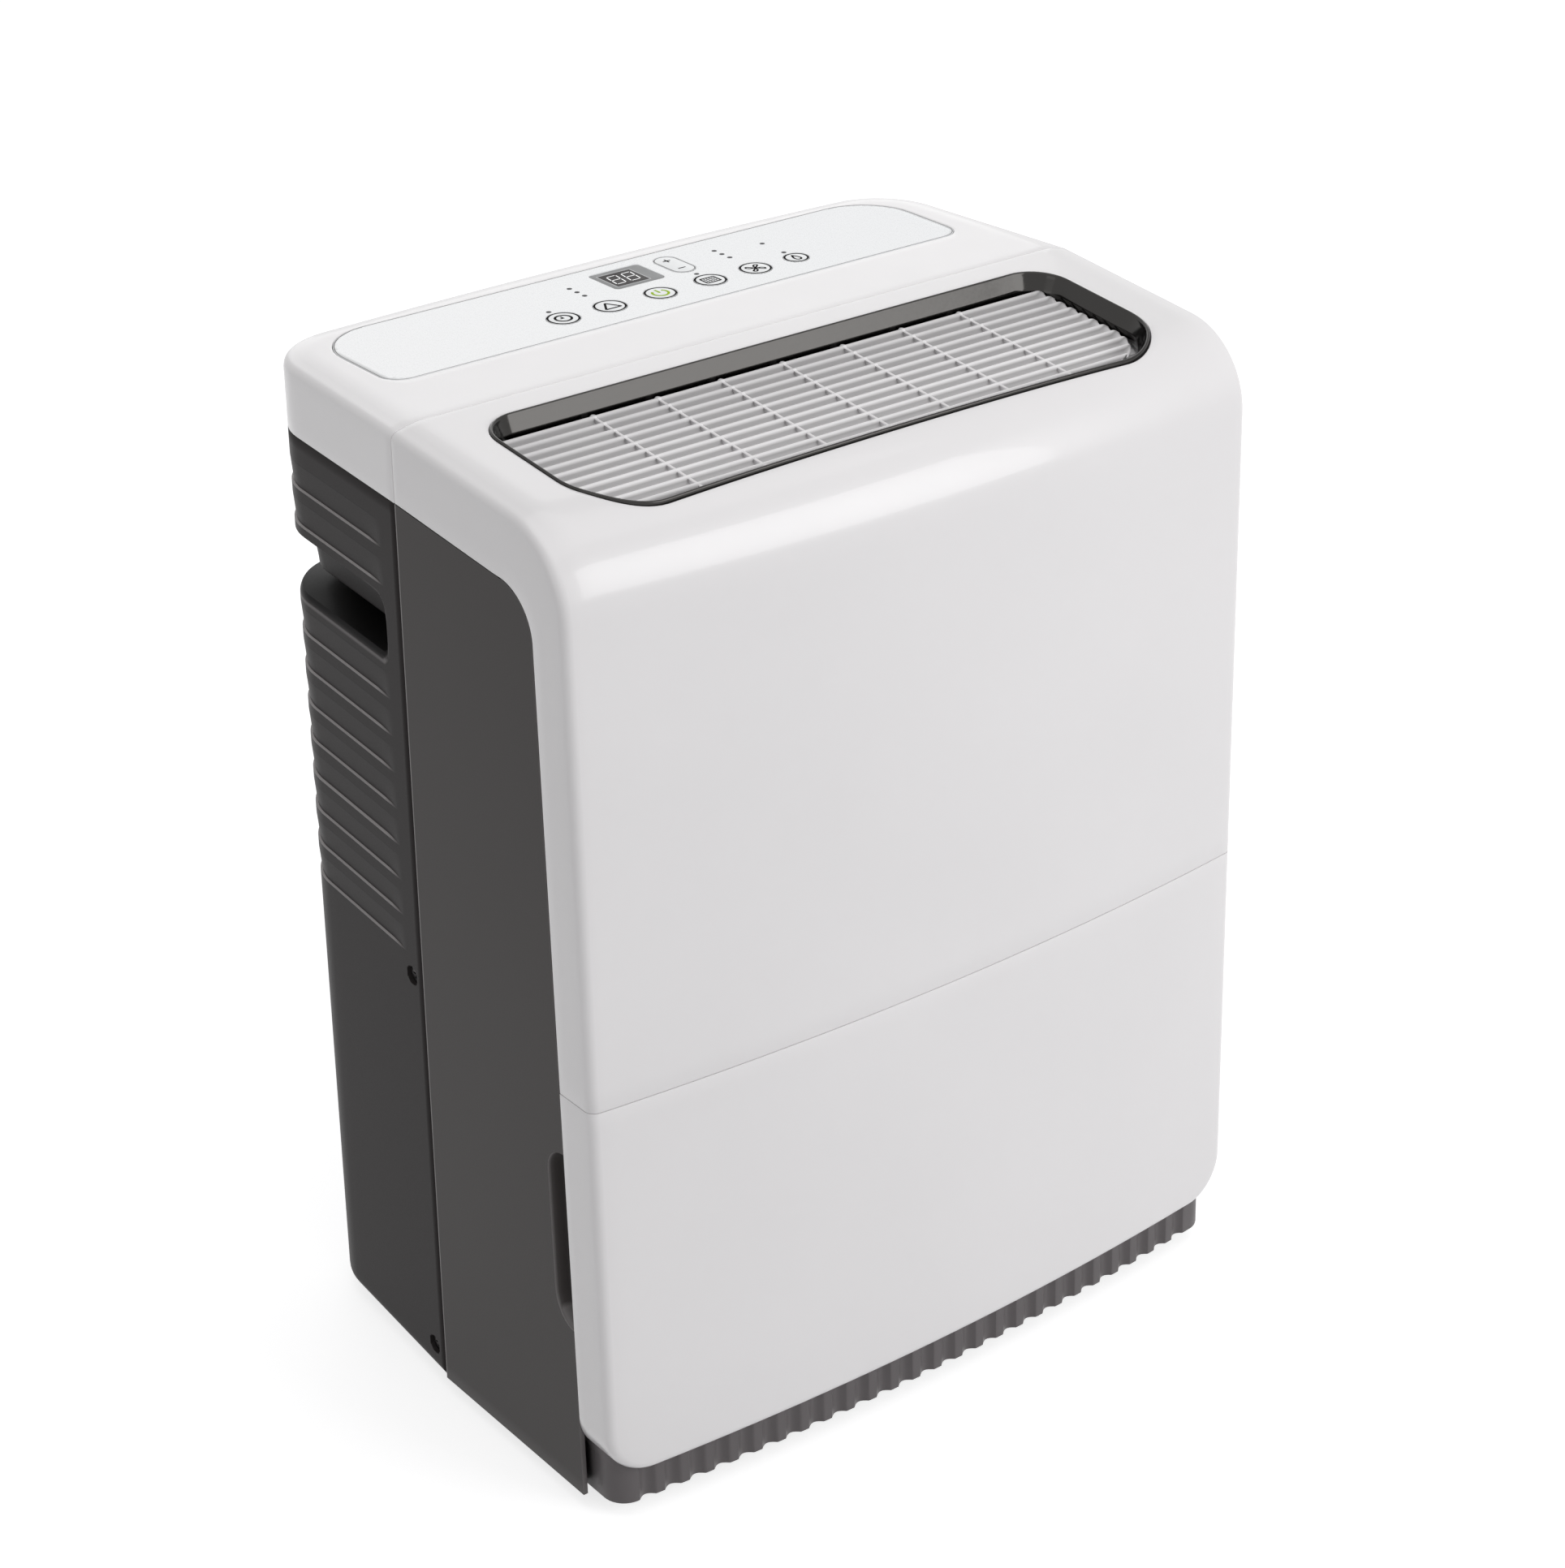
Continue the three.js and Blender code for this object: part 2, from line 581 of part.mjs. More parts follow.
// Finger slot beside the bucket front, as a side view outline.
function slotOutline(grow = 0) {
  const front = bandAt(SLOT_LOW_Z) - GAP;
  const rear = bandAt(SLOT_HIGH_Z) + SLOT_W;
  return [
    [front - grow, SLOT_LOW_Z - grow],
    [rear - SLOT_W * 0.5 + grow, SLOT_LOW_Z + SLOT_W * 0.55 - grow],
    [rear - SLOT_W * 0.12 + grow, SLOT_LOW_Z + SLOT_W * 1.2 - grow],
    [rear + grow, SLOT_HIGH_Z - SLOT_W * 1.2 + grow],
    [rear - SLOT_W * 0.3 + grow, SLOT_HIGH_Z - SLOT_W * 0.55 + grow],
    [front - grow, SLOT_HIGH_Z + grow],
  ];
}

function sidePanel(side) {
  const lo = (a, b) => (side < 0 ? [-b, -a] : [a, b]);
  const [p0, p1] = lo(HALF - WALL, HALF);
  const [b0, b1] = lo(HALF - WALL - SLOT_DEPTH, HALF - 1);
  const [c0, c1] = lo(HALF - SLOT_DEPTH, HALF + 1);
  const plate = prism("x", sidePanelOutline(), p0, p1);
  const yRear = bandAt(SLOT_HIGH_Z) + SLOT_W + WALL;
  const pocket = block(b0, b1, bandAt(SLOT_HIGH_Z) + WALL, yRear, SLOT_LOW_Z - WALL, SLOT_HIGH_Z + WALL);
  const [f0, f1] = lo(HALF - WALL - 8, HALF - 1);
  const seamFlange = block(f0, f1, SEAM_Y - GAP / 2 - 6, SEAM_Y - GAP / 2 - 3, DECK_Z + 4, BAND_Z - 12);
  return cut(join([plate, pocket, seamFlange]), [prism("x", slotOutline(), c0, c1)]);
}

function outletOutline(inset) {
  const half = OUTLET_W / 2 - inset;
  return roundedOutline(
    -half,
    half,
    OUTLET_FRONT_Y + inset,
    OUTLET_REAR_Y - inset,
    OUTLET_FRONT_R - inset,
    OUTLET_REAR_R - inset,
  );
}

function frontCover() {
  const zLow = BUCKET_TOP_Z;
  const back = SEAM_Y - GAP / 2;
  const shell = frontForm(zLow, back).subtract(frontCore(zLow - 5, SEAM_Y + 5));
  const side = prism("x", sidePanelOutline(GAP), -HALF - 5, HALF + 5);
  const keep = block(-HALF + WALL, HALF - WALL, -CLEAR, CLEAR, zLow - 20, TOP_Z + 20);
  const outlet = tipped(prism("z", outletOutline(-GAP), -60, 20));
  return cut(join([shell, outletRim()]), [side.subtract(keep), outlet]);
}

// Rim hanging under the front cover, round the outlet bezel.
function outletRim() {
  const rim = tipped(prism("z", outletOutline(-GAP - WALL), -BEZEL_DEPTH - BEZEL_FOOT, 20));
  return rim.intersect(frontForm(BUCKET_TOP_Z, SEAM_Y - GAP / 2 - 0.5));
}

function controlTop() {
  const front = SEAM_Y + GAP / 2;
  const zLow = BAND_Z + GAP / 2;
  const low = rearOutline(0, zLow, front);
  const rounding = edgeSteps().map((s) => rearOutline(s.run, SIDE_TOP_Z - s.drop + s.rise, front));
  const outer = loft([low, ...rounding], [0, 1]);
  const core = rearForm(WALL, zLow - 5, SIDE_TOP_Z - WALL, front - 5);
  const sheetBed = panelOutline(-GAP);
  const bed = prism("z", sheetBed, TOP_Z - SHEET_T, TOP_Z + 5);
  const well = prism("z", panelOutline(4), zLow - 5, TOP_Z + 5);
  const step = prism("z", panelOutline(-2), TOP_Z - SHEET_T - WALL, TOP_Z - 0.1);
  return cut(outer.subtract(core).add(step), [bed, well]);
}

function panelOutline(inset) {
  const half = PANEL_W / 2 - inset;
  return roundedOutline(
    -half,
    half,
    PANEL_FRONT_Y + inset,
    PANEL_REAR_Y - inset,
    PANEL_FRONT_R - inset,
    PANEL_REAR_R - inset,
    6,
  );
}

// Rings of the clapboard back, from the rounded foot up to the white top. Each board ends in a
// narrow ledge that faces up; above the ledge the wall is drawn in and slopes out again.
function boardRings(front) {
  const rings = [rearOutline(2.4, BASE_Z, front), rearOutline(0.7, BASE_Z + 1.6, front)];
  rings.push(rearOutline(0, BASE_Z + 4.5, front));
  const lines = [];
  for (let i = 0; i < RIBS_LOW; i++) lines.push(RIB_FIRST_Z + i * RIB_PITCH);
  for (let i = 0; i < RIBS_HIGH; i++) lines.push(RIB_HIGH_Z + i * RIB_PITCH);
  for (const z of lines) {
    rings.push(rearOutline(0, z, front));
    rings.push(rearOutline(0, z + 0.7, front, -RIB_IN));
    rings.push(rearOutline(0, z + RIB_RUN, front));
  }
  rings.push(rearOutline(0, BAND_Z - GAP / 2, front));
  return rings;
}

// The hand grip: a recess round the rear corner, and a deep pocket under its flap.
function gripCutters(side) {
  const zMid = (GRIP_LOW_Z + GRIP_HIGH_Z) / 2;
  const reach = REAR_Y + 20;
  const outline = roundedOutline(GRIP_FRONT_Y, reach, GRIP_LOW_Z, GRIP_HIGH_Z, GRIP_R, GRIP_R, 3);
  const [x0, x1] = side < 0 ? [-HALF - 10, -GRIP_BACK_X] : [GRIP_BACK_X, HALF + 10];
  const flap = rearForm(GRIP_DEPTH, zMid - 60, zMid + 60, GRIP_FRONT_Y - 40);
  const recess = prism("x", outline, x0, x1).subtract(flap);
  const mouth = gripPocket(side, 0, POCKET_HIGH_Z, GRIP_DEPTH - 2, GRIP_DEPTH + POCKET_DEPTH);
  const rise = gripPocket(side, 0, POCKET_HIGH_Z + POCKET_RISE, GRIP_DEPTH + WALL, GRIP_DEPTH + POCKET_DEPTH);
  return [recess, mouth, rise];
}

// A block between two depths behind the side face, as high as the pocket.
function gripPocket(side, grow, zHigh, near, far) {
  const [x0, x1] = side < 0 ? [-HALF - 10, 0] : [0, HALF + 10];
  const span = block(
    x0,
    x1,
    GRIP_FRONT_Y + GRIP_R / 2 - grow,
    POCKET_REAR_Y + grow,
    GRIP_LOW_Z + GRIP_R / 2 - grow,
    zHigh + grow,
  );
  const outer = rearForm(near, GRIP_LOW_Z - 20, GRIP_HIGH_Z + 20, GRIP_FRONT_Y - 40);
  const inner = rearForm(far, GRIP_LOW_Z - 40, GRIP_HIGH_Z + 40, GRIP_FRONT_Y - 60);
  return span.intersect(outer.subtract(inner));
}

// Walls of the grip inside the housing.
function gripWalls(side) {
  const [x0, x1] = side < 0 ? [-HALF - 10, -GRIP_BACK_X + WALL] : [GRIP_BACK_X - WALL, HALF + 10];
  const outer = rearForm(WALL / 2, GRIP_LOW_Z - WALL, GRIP_HIGH_Z + WALL, GRIP_FRONT_Y - WALL);
  const inner = rearForm(GRIP_DEPTH + WALL, GRIP_LOW_Z - 20, GRIP_HIGH_Z + 20, GRIP_FRONT_Y - 20);
  const span = block(x0, x1, GRIP_FRONT_Y - WALL, REAR_Y + 10, GRIP_LOW_Z - WALL, GRIP_HIGH_Z + WALL);
  const far = GRIP_DEPTH + POCKET_DEPTH + WALL;
  const pocket = gripPocket(side, WALL, POCKET_HIGH_Z + POCKET_RISE, GRIP_DEPTH, far);
  return [span.intersect(outer.subtract(inner)), pocket];
}

function rearHousing() {
  const front = SEAM_Y + GAP / 2;
  const outer = loft(boardRings(front), [0, 1]);
  const core = rearForm(WALL, BASE_Z - 5, BAND_Z + 5, front - 5);
  const cutters = [...gripCutters(-1), ...gripCutters(1)];
  cutters.push(prism("y", intakeOutline(-GAP), REAR_Y - 30, REAR_Y + 10));
  for (const side of [-1, 1]) {
    for (const z of [SCREW_LOW_Z, SCREW_HIGH_Z]) {
      const [x0, x1] = side < 0 ? [-HALF - 2, -HALF + SCREW_SINK + 3] : [HALF - SCREW_SINK - 3, HALF + 2];
      cutters.push(bar("x", SCREW_R + GAP, x0, x1, SCREW_Y, z, SCREW_SIDES));
    }
  }
  for (const port of PORTS) {
    cutters.push(bar("y", port.r + GAP, REAR_Y - 30, REAR_Y + 10, port.x, port.z, PORT_SIDES));
  }
  const screwBosses = [-1, 1].flatMap((side) =>
    [SCREW_LOW_Z, SCREW_HIGH_Z].map((z) => {
      const [x0, x1] = side < 0 ? [-HALF + 1.5, -HALF + 10] : [HALF - 10, HALF - 1.5];
      return bar("x", SCREW_R + 3, x0, x1, SCREW_Y, z, 6);
    }),
  );
  const ledge = intakeLedge();
  return cut(join([outer.subtract(core), ...gripWalls(-1), ...gripWalls(1), ...screwBosses, ledge]), cutters);
}

function intakeOutline(inset) {
  const half = INTAKE_W / 2 - inset;
  return roundedOutline(
    -half,
    half,
    INTAKE_LOW_Z + inset,
    INTAKE_HIGH_Z - inset,
    INTAKE_R - inset,
    INTAKE_R - inset,
    3,
  );
}

// Inner lip round the intake window that the filter frame rests against.
function intakeLedge() {
  const yBack = REAR_Y - REAR_CROWN - GRILLE_T - GAP * 2;
  const ring = prism("y", intakeOutline(-WALL - GAP), yBack - WALL, REAR_Y - REAR_CROWN + 0.5);
  const hole = prism("y", intakeOutline(5), yBack - WALL - 5, REAR_Y + 5);
  return cut(ring, [hole, prism("y", intakeOutline(-GAP), yBack, REAR_Y + 10)]);
}

// Round ports low in the back wall.
const DRAIN = { x: -112, z: 142, r: 10 };
const PUMP_PORT = { x: -72, z: 142, r: 7 };
const CORD_PORT = { x: 128, z: 66, r: 8 };
const PORTS = [DRAIN, PUMP_PORT, CORD_PORT];
const PORT_SIDES = 12;
const FLANGE = 3; // their flanges are this much wider than the ports

function intakeGrille() {
  const yFace = REAR_Y - REAR_CROWN;
  const frame = prism("y", intakeOutline(0), yFace - GRILLE_T, yFace);
  const clear = intakeOutline(6);
  const hole = prism("y", clear, yFace - GRILLE_T - 1, yFace + 1);
  const bars = [];
  const span = INTAKE_HIGH_Z - INTAKE_LOW_Z - 12;
  for (let i = 1; i <= INTAKE_BARS; i++) {
    const z = INTAKE_LOW_Z + 6 + (span * i) / (INTAKE_BARS + 1);
    const x = INTAKE_W / 2 - 5;
    bars.push(block(-x, x, yFace - GRILLE_T + 1, yFace - 0.4, z - BAR_H / 2, z + BAR_H / 2));
  }
  for (const x of [-INTAKE_W / 6, INTAKE_W / 6]) {
    const [z0, z1] = [INTAKE_LOW_Z + 5, INTAKE_HIGH_Z - 5];
    bars.push(block(x - 1.5, x + 1.5, yFace - GRILLE_T + 0.5, yFace - 1.2, z0, z1));
  }
  return join([frame.subtract(hole), ...bars]);
}

// ---------------------------------------------------------------- outlet
// Everything of the outlet is made level and then tipped onto the sloping top.
function tipped(body) {
  const g = geometryOf(body);
  g.translate(0, -SEAM_Y, 0);
  g.rotateX(THREE.MathUtils.degToRad(TOP_SLOPE));
  g.translate(0, SEAM_Y, TOP_Z);
  return solid(g);
}

function outletBezel() {
  const deep = -BEZEL_DEPTH - BEZEL_FOOT;
  const outer = prism("z", outletOutline(0), deep - 2, 0);
  const ringAt = (inset, z) => outletOutline(inset).map((p) => [p[0], p[1], z]);
  const throat = loft(
    [
      ringAt(BEZEL_LIP - 0.5, 1),
      ringAt(BEZEL_LIP, -0.4),
      ringAt(BEZEL_LIP + BEZEL_DRAFT, -BEZEL_DEPTH),
      ringAt(BEZEL_LIP + BEZEL_DRAFT, deep - 5),
    ],
    [0, 1],
  );
  return tipped(outer.subtract(throat));
}

// Outline of the louvre field inside the bezel.
function louvreOutline(inset) {
  const end = BEZEL_LIP + BEZEL_DRAFT + BLADE_END_GAP + inset;
  const half = OUTLET_W / 2 - end;
  const front = OUTLET_FRONT_Y + end;
  const rear = OUTLET_REAR_Y - end;
  return roundedOutline(-half, half, front, rear, OUTLET_FRONT_R - end, OUTLET_REAR_R - end - 6, 3);
}

// Cove blades on fore-and-aft ribs, whose feet run into a ring below the bezel.
function outletGrille() {
  const end = BEZEL_LIP + BEZEL_DRAFT + BLADE_END_GAP;
  const blades = [];
  for (let i = 0; i < BLADES; i++) {
    const y = OUTLET_REAR_Y - end - BLADE_REAR_GAP - i * BLADE_PITCH;
    const z = -BLADE_SINK;
    const section = [
      [y, z],
      [y - BLADE_RIM, z],
      [y - BLADE_RUN * 0.38, z - BLADE_DROP * 0.8],
      [y - BLADE_RUN, z - BLADE_DROP],
      [y - BLADE_RUN, z - BLADE_DROP - BLADE_T],
      [y, z - BLADE_T * 0.8],
    ];
    blades.push(prism("x", section.reverse(), -OUTLET_W / 2, OUTLET_W / 2));
  }
  const ringTop = -BEZEL_DEPTH - BEZEL_FOOT - 2 - GAP;
  const ringLow = ringTop - LOUVRE_RING_T;
  const ribs = [];
  for (let i = 0; i < LOUVRE_RIBS; i++) {
    const x0 = (i - (LOUVRE_RIBS - 1) / 2) * LOUVRE_RIB_PITCH - LOUVRE_RIB_T / 2;
    const top = -BLADE_SINK - LOUVRE_RIB_DROP;
    ribs.push(block(x0, x0 + LOUVRE_RIB_T, OUTLET_FRONT_Y, OUTLET_REAR_Y, ringLow, top));
  }
  const mask = prism("z", louvreOutline(0), -60, 10);
  const inner = join([...blades, ...ribs]).intersect(mask);
  const opening = prism("z", louvreOutline(1.5), ringLow - 5, ringTop + 5);
  const ring = prism("z", outletOutline(1), ringLow, ringTop).subtract(opening);
  return tipped(join([inner, ring]));
}

// ---------------------------------------------------------------- bucket
// Front panel of the bucket, cut from the same outer form as the front cover above it.
function bucketFront() {
  const zHigh = BUCKET_TOP_Z - GAP;
  const band = (z) => bandAt(z) - GAP;
  const half = HALF;
  const box = prism(
    "y",
    roundedOutline(-half, half, BUCKET_LOW_Z, zHigh + 60, BUCKET_CORNER_R, 5),
    FRONT_Y - 80,
    SEAM_Y,
  );
  const level = block(-CLEAR, CLEAR, -CLEAR, CLEAR, BUCKET_LOW_Z - 1, zHigh);
  const behind = prism(
    "x",
    [
      [band(BASE_Z), BASE_Z],
      [band(SIDE_TOP_Z), SIDE_TOP_Z],
      [60, SIDE_TOP_Z],
      [60, BASE_Z],
    ],
    -half - 5,
    half + 5,
  );
  const skin = frontForm(BASE_Z, SEAM_Y);
  const outer = cut(skin.intersect(box).intersect(level), [behind]);
  const inBox = prism(
    "y",
    roundedOutline(
      -half + WALL,
      half - WALL,
      BUCKET_LOW_Z + WALL,
      zHigh - WALL,
      BUCKET_CORNER_R - WALL,
      2,
    ),
    FRONT_Y - 80,
    SEAM_Y,
  );
  const core = frontCore(BASE_Z, SEAM_Y + 5);
  const x = half - BUCKET_CORNER_R;
  const open = block(-x, x, -CLEAR, CLEAR, BUCKET_LOW_Z - 5, BUCKET_LOW_Z + WALL + 2);
  return cut(outer, [core.intersect(inBox), core.intersect(open)]);
}

// Keep-out round the curved lower corners of the bucket front.
function bucketCornerRoom() {
  const half = HALF;
  const r = BUCKET_CORNER_R;
  const d = WALL + GAP;
  const out = roundedOutline(-half - GAP, half + GAP, BUCKET_LOW_Z - GAP, TUB_TOP_Z, r + GAP, 5);
  const inner = roundedOutline(-half + d, half - d, BUCKET_LOW_Z + d, TUB_TOP_Z + 5, r - d, 2);
  const shell = prism("y", out, FRONT_Y - 80, SEAM_Y).subtract(prism("y", inner, FRONT_Y - 90, SEAM_Y + 5));
  const x = half - BUCKET_CORNER_R - GAP;
  return shell.subtract(block(-x, x, -CLEAR, CLEAR, 0, TUB_TOP_Z + 10));
}

// Plan outline of the tub at one height: bowed front, straight back.
function tubOutline(z, inset, setback = TUB_SETBACK) {
  const half = TUB_WIDTH / 2 - inset;
  const r = TUB_R - inset;
  const yRear = TUB_REAR_Y - inset;
  const yFront = (x) => frontAt(x, z) + setback + inset;
  const outline = [];
  const n = 3;
  for (let i = 0; i <= n; i++) {
    const a = ((Math.PI / 2) * i) / n;
    outline.push([half - r + r * Math.cos(a), yRear - r + r * Math.sin(a), z]);
  }
  for (let i = 0; i <= n; i++) {
    const a = Math.PI / 2 + ((Math.PI / 2) * i) / n;
    outline.push([-half + r + r * Math.cos(a), yRear - r + r * Math.sin(a), z]);
  }
  const yCorner = yFront(half - r);
  for (let i = 0; i <= n; i++) {
    const a = Math.PI + ((Math.PI / 2) * i) / n;
    outline.push([-half + r + r * Math.cos(a), yCorner + r + r * Math.sin(a), z]);
  }
  for (const f of [-0.6, -0.3, 0, 0.3, 0.6]) {
    outline.push([f * half, yFront(f * half), z]);
  }
  for (let i = 0; i <= n; i++) {
    const a = (3 * Math.PI) / 2 + ((Math.PI / 2) * i) / n;
    outline.push([half - r + r * Math.cos(a), yCorner + r + r * Math.sin(a), z]);
  }
  return outline;
}

// Fluted outline of the skirt below the bucket front.
function skirtOutline(z, inset) {
  const half = SKIRT_WIDTH / 2 - inset;
  const r = SKIRT_END_R - inset;
  const yFront = (x) => frontAt(x, z) + SKIRT_SETBACK + inset;
  const yBack = yFront(half - r) + r + SKIRT_RETURN + (inset > 0 ? 10 : 0);
  const front = [];
  const span = 2 * (half - r);
  const points = inset > 0 ? 0.5 : 3;
  const count = SCALLOPS * points;
  for (let i = 0; i <= count; i++) {
    const x = -span / 2 + (span * i) / count;
    const dip = inset > 0 ? 0 : SCALLOP_DEPTH * Math.sin((i * Math.PI) / points);
    front.push([x, yFront(x) + Math.abs(dip), z]);
  }
  const left = [];
  const right = [];
  const yCorner = yFront(half - r);
  for (let i = 0; i < 4; i++) {
    const a = ((Math.PI / 2) * i) / 4;
    left.push([-half + r - r * Math.cos(a), yCorner + r - r * Math.sin(a), z]);
    right.push([half - r + r * Math.sin(a + Math.PI / 8), yCorner + r - r * Math.cos(a + Math.PI / 8), z]);
  }
  return [[-half, yBack, z], ...left, ...front, ...right, [half, yBack, z]];
}

function bucketTub() {
  const floor = DECK_Z + GAP;
  const outer = loft([tubOutline(floor, 3), tubOutline(floor + 8, 0), tubOutline(TUB_TOP_Z, 0)], [0, 1]);
  const hollow = loft(
    [
      tubOutline(floor + TUB_WALL, TUB_WALL + 3),
      tubOutline(floor + TUB_WALL + 8, TUB_WALL),
      tubOutline(TUB_TOP_Z + 5, TUB_WALL),
    ],
    [0, 1],
  );
  const low = BASE_Z + GAP;
  const high = floor + 1.5;
  const skirtOuter = loft([skirtOutline(low, 0), skirtOutline(high, 0)], [0, 1]);
  const skin = TUB_WALL + SCALLOP_DEPTH;
  const skirtInner = loft([skirtOutline(low - 5, skin), skirtOutline(floor - 1, skin)], [0, 1]);
  const openBack = block(-CLEAR, CLEAR, -60, CLEAR, -10, floor - 1);
  const behind = block(-CLEAR, CLEAR, BASE_FRONT_Y - GAP, CLEAR, -10, high + 5);
  const skirt = cut(skirtOuter, [skirtInner, openBack, behind, bucketCornerRoom()]);
  return join([outer.add(skirt).subtract(hollow), ...floatEars()]);
}

// ---------------------------------------------------------------- base and casters
function baseOutline(inset) {
  const half = HALF - WALL - inset;
  const rear = rearOutline(WALL + inset, 0, SEAM_Y).map((p) => [p[0], p[1]]);
  return [[-half, BASE_FRONT_Y + inset], [half, BASE_FRONT_Y + inset], ...rear];
}

function basePan() {
  const body = prism("z", baseOutline(GAP), BASE_Z + GAP, DECK_Z);
  const under = prism("z", baseOutline(GAP + BASE_RIM), BASE_Z - 5, DECK_Z - DECK_T);
  const bosses = CASTERS.map((c) => bar("z", STEM_R + 5, DECK_Z - DECK_T - 1, DECK_Z, c.x, c.y, 10));
  const holes = CASTERS.map((c) =>
    bored("z", STEM_R + RUNNING, BASE_Z, DECK_Z - 0.8, c.x, c.y, 8),
  );
  const wells = [-1, 1].map((side) => {
    const [x0, x1] = side < 0 ? [-HALF - 5, -HALF + 12] : [HALF - 12, HALF + 5];
    return block(x0, x1, SCREW_Y - 9, SCREW_Y + 9, BASE_Z - 5, DECK_Z - DECK_T);
  });
  return cut(join([body.subtract(under), ...bosses]), [...holes, ...wells]);
}

const CASTERS = [
  { name: "front_left", x: -CASTER_X, y: CASTER_FRONT_Y },
  { name: "front_right", x: CASTER_X, y: CASTER_FRONT_Y },
  { name: "rear_left", x: -CASTER_X, y: CASTER_REAR_Y },
  { name: "rear_right", x: CASTER_X, y: CASTER_REAR_Y },
];

// Swivel fork of a caster about its own stem, with the axle pin fused in.
function casterFork() {
  const deck = DECK_Z - DECK_T;
  const top = deck - 1 - GAP;
  const gap = WHEEL_W / 2 + GAP;
  const plate = bar("z", STEM_R + 5, top - FORK_T, top, 0, 0, 10);
  const arch = prism(
    "x",
    [
      [-6, top - 0.4],
      [6, top - 0.4],
      [CASTER_TRAIL + 5, WHEEL_R],
      [CASTER_TRAIL + 3, WHEEL_R - 3.6],
      [CASTER_TRAIL - 3, WHEEL_R - 3.6],
      [CASTER_TRAIL - 5, WHEEL_R],
    ],
    -gap - FORK_T,
    gap + FORK_T,
  );
  const inside = block(-gap, gap, -60, 60, WHEEL_R - 8, top - FORK_T);
  const stem = bar("z", STEM_R, top - 1, DECK_Z - 0.8 - GAP, 0, 0, 8);
  const axle = bar("x", AXLE_R, -gap - 1, gap + 1, CASTER_TRAIL, WHEEL_R, AXLE_SIDES);
  return join([plate, arch.subtract(inside), stem, axle]);
}

// The wheel's rim is many-sided and stands on one of its flats.
function casterWheel() {
  const half = Math.PI / WHEEL_SIDES;
  const r = WHEEL_R / Math.cos(half);
  const tread = WHEEL_W / 2 - 1.2;
  const rim = bar("x", r, -tread, tread, CASTER_TRAIL, WHEEL_R, WHEEL_SIDES, r, half);
  const hub = bar("x", AXLE_R + 3, -WHEEL_W / 2, WHEEL_W / 2, CASTER_TRAIL, WHEEL_R, AXLE_SIDES);
  const bore = bored("x", AXLE_R + RUNNING, -WHEEL_W, WHEEL_W, CASTER_TRAIL, WHEEL_R, AXLE_SIDES);
  return cut(join([rim, hub]), [bore]);
}

// ---------------------------------------------------------------- key panel
const KEYS = Object.entries(KEY_X).map(([name, x]) => ({
  name,
  x,
  y: KEY_ROW_Y,
  r: name === "pump" ? PUMP_KEY_R : KEY_R,
}));

function rockerOutline(inset) {
  const r = ROCKER_W / 2 - inset;
  return roundedOutline(
    ROCKER_X - r,
    ROCKER_X + r,
    ROCKER_Y - ROCKER_L / 2 + inset,
    ROCKER_Y + ROCKER_L / 2 - inset,
    r - 0.05,
    r - 0.05,
    3,
  );
}

function displayOutline(inset) {
  return roundedOutline(
    DISPLAY_X - DISPLAY_W / 2 + inset,
    DISPLAY_X + DISPLAY_W / 2 - inset,
    DISPLAY_Y - DISPLAY_L / 2 + inset,
    DISPLAY_Y + DISPLAY_L / 2 - inset,
    DISPLAY_R - inset,
    DISPLAY_R - inset,
    3,
  );
}

function panelSheet() {
  const sheet = prism("z", panelOutline(0), TOP_Z - SHEET_T + 0.05, TOP_Z);
  const holes = KEYS.map((k) => bar("z", k.r + KEY_PLAY, TOP_Z - 5, TOP_Z + 5, k.x, k.y, KEY_SIDES));
  holes.push(prism("z", rockerOutline(-0.25), TOP_Z - 5, TOP_Z + 5));
  holes.push(prism("z", displayOutline(-0.25), TOP_Z - 5, TOP_Z + 5));
  for (const [x, y] of LAMPS) holes.push(bar("z", LAMP_R + KEY_PLAY, TOP_Z - 5, TOP_Z + 5, x, y, LAMP_SIDES));
  return cut(sheet, holes);
}

function key(k) {
  const top = TOP_Z + 0.1;
  const cap = bar("z", k.r, TOP_Z - KEY_H, top, k.x, k.y, KEY_SIDES);
  const stalk = bar("z", KEY_STALK_R, TOP_Z - KEY_H - 3, TOP_Z - KEY_H + 0.5, k.x, k.y, 6);
  return join([cap, stalk]);
}

function rockerKey() {
  const cap = prism("z", rockerOutline(0), TOP_Z - KEY_H, TOP_Z + 0.1);
  const reach = ROCKER_W / 2 + 2;
  const pivot = bar("x", 1.6, ROCKER_X - reach, ROCKER_X + reach, ROCKER_Y, TOP_Z - KEY_H, 12);
  return join([cap, pivot]);
}

function displayWindow() {
  return prism("z", displayOutline(0), TOP_Z - DISPLAY_H, TOP_Z - 0.1);
}

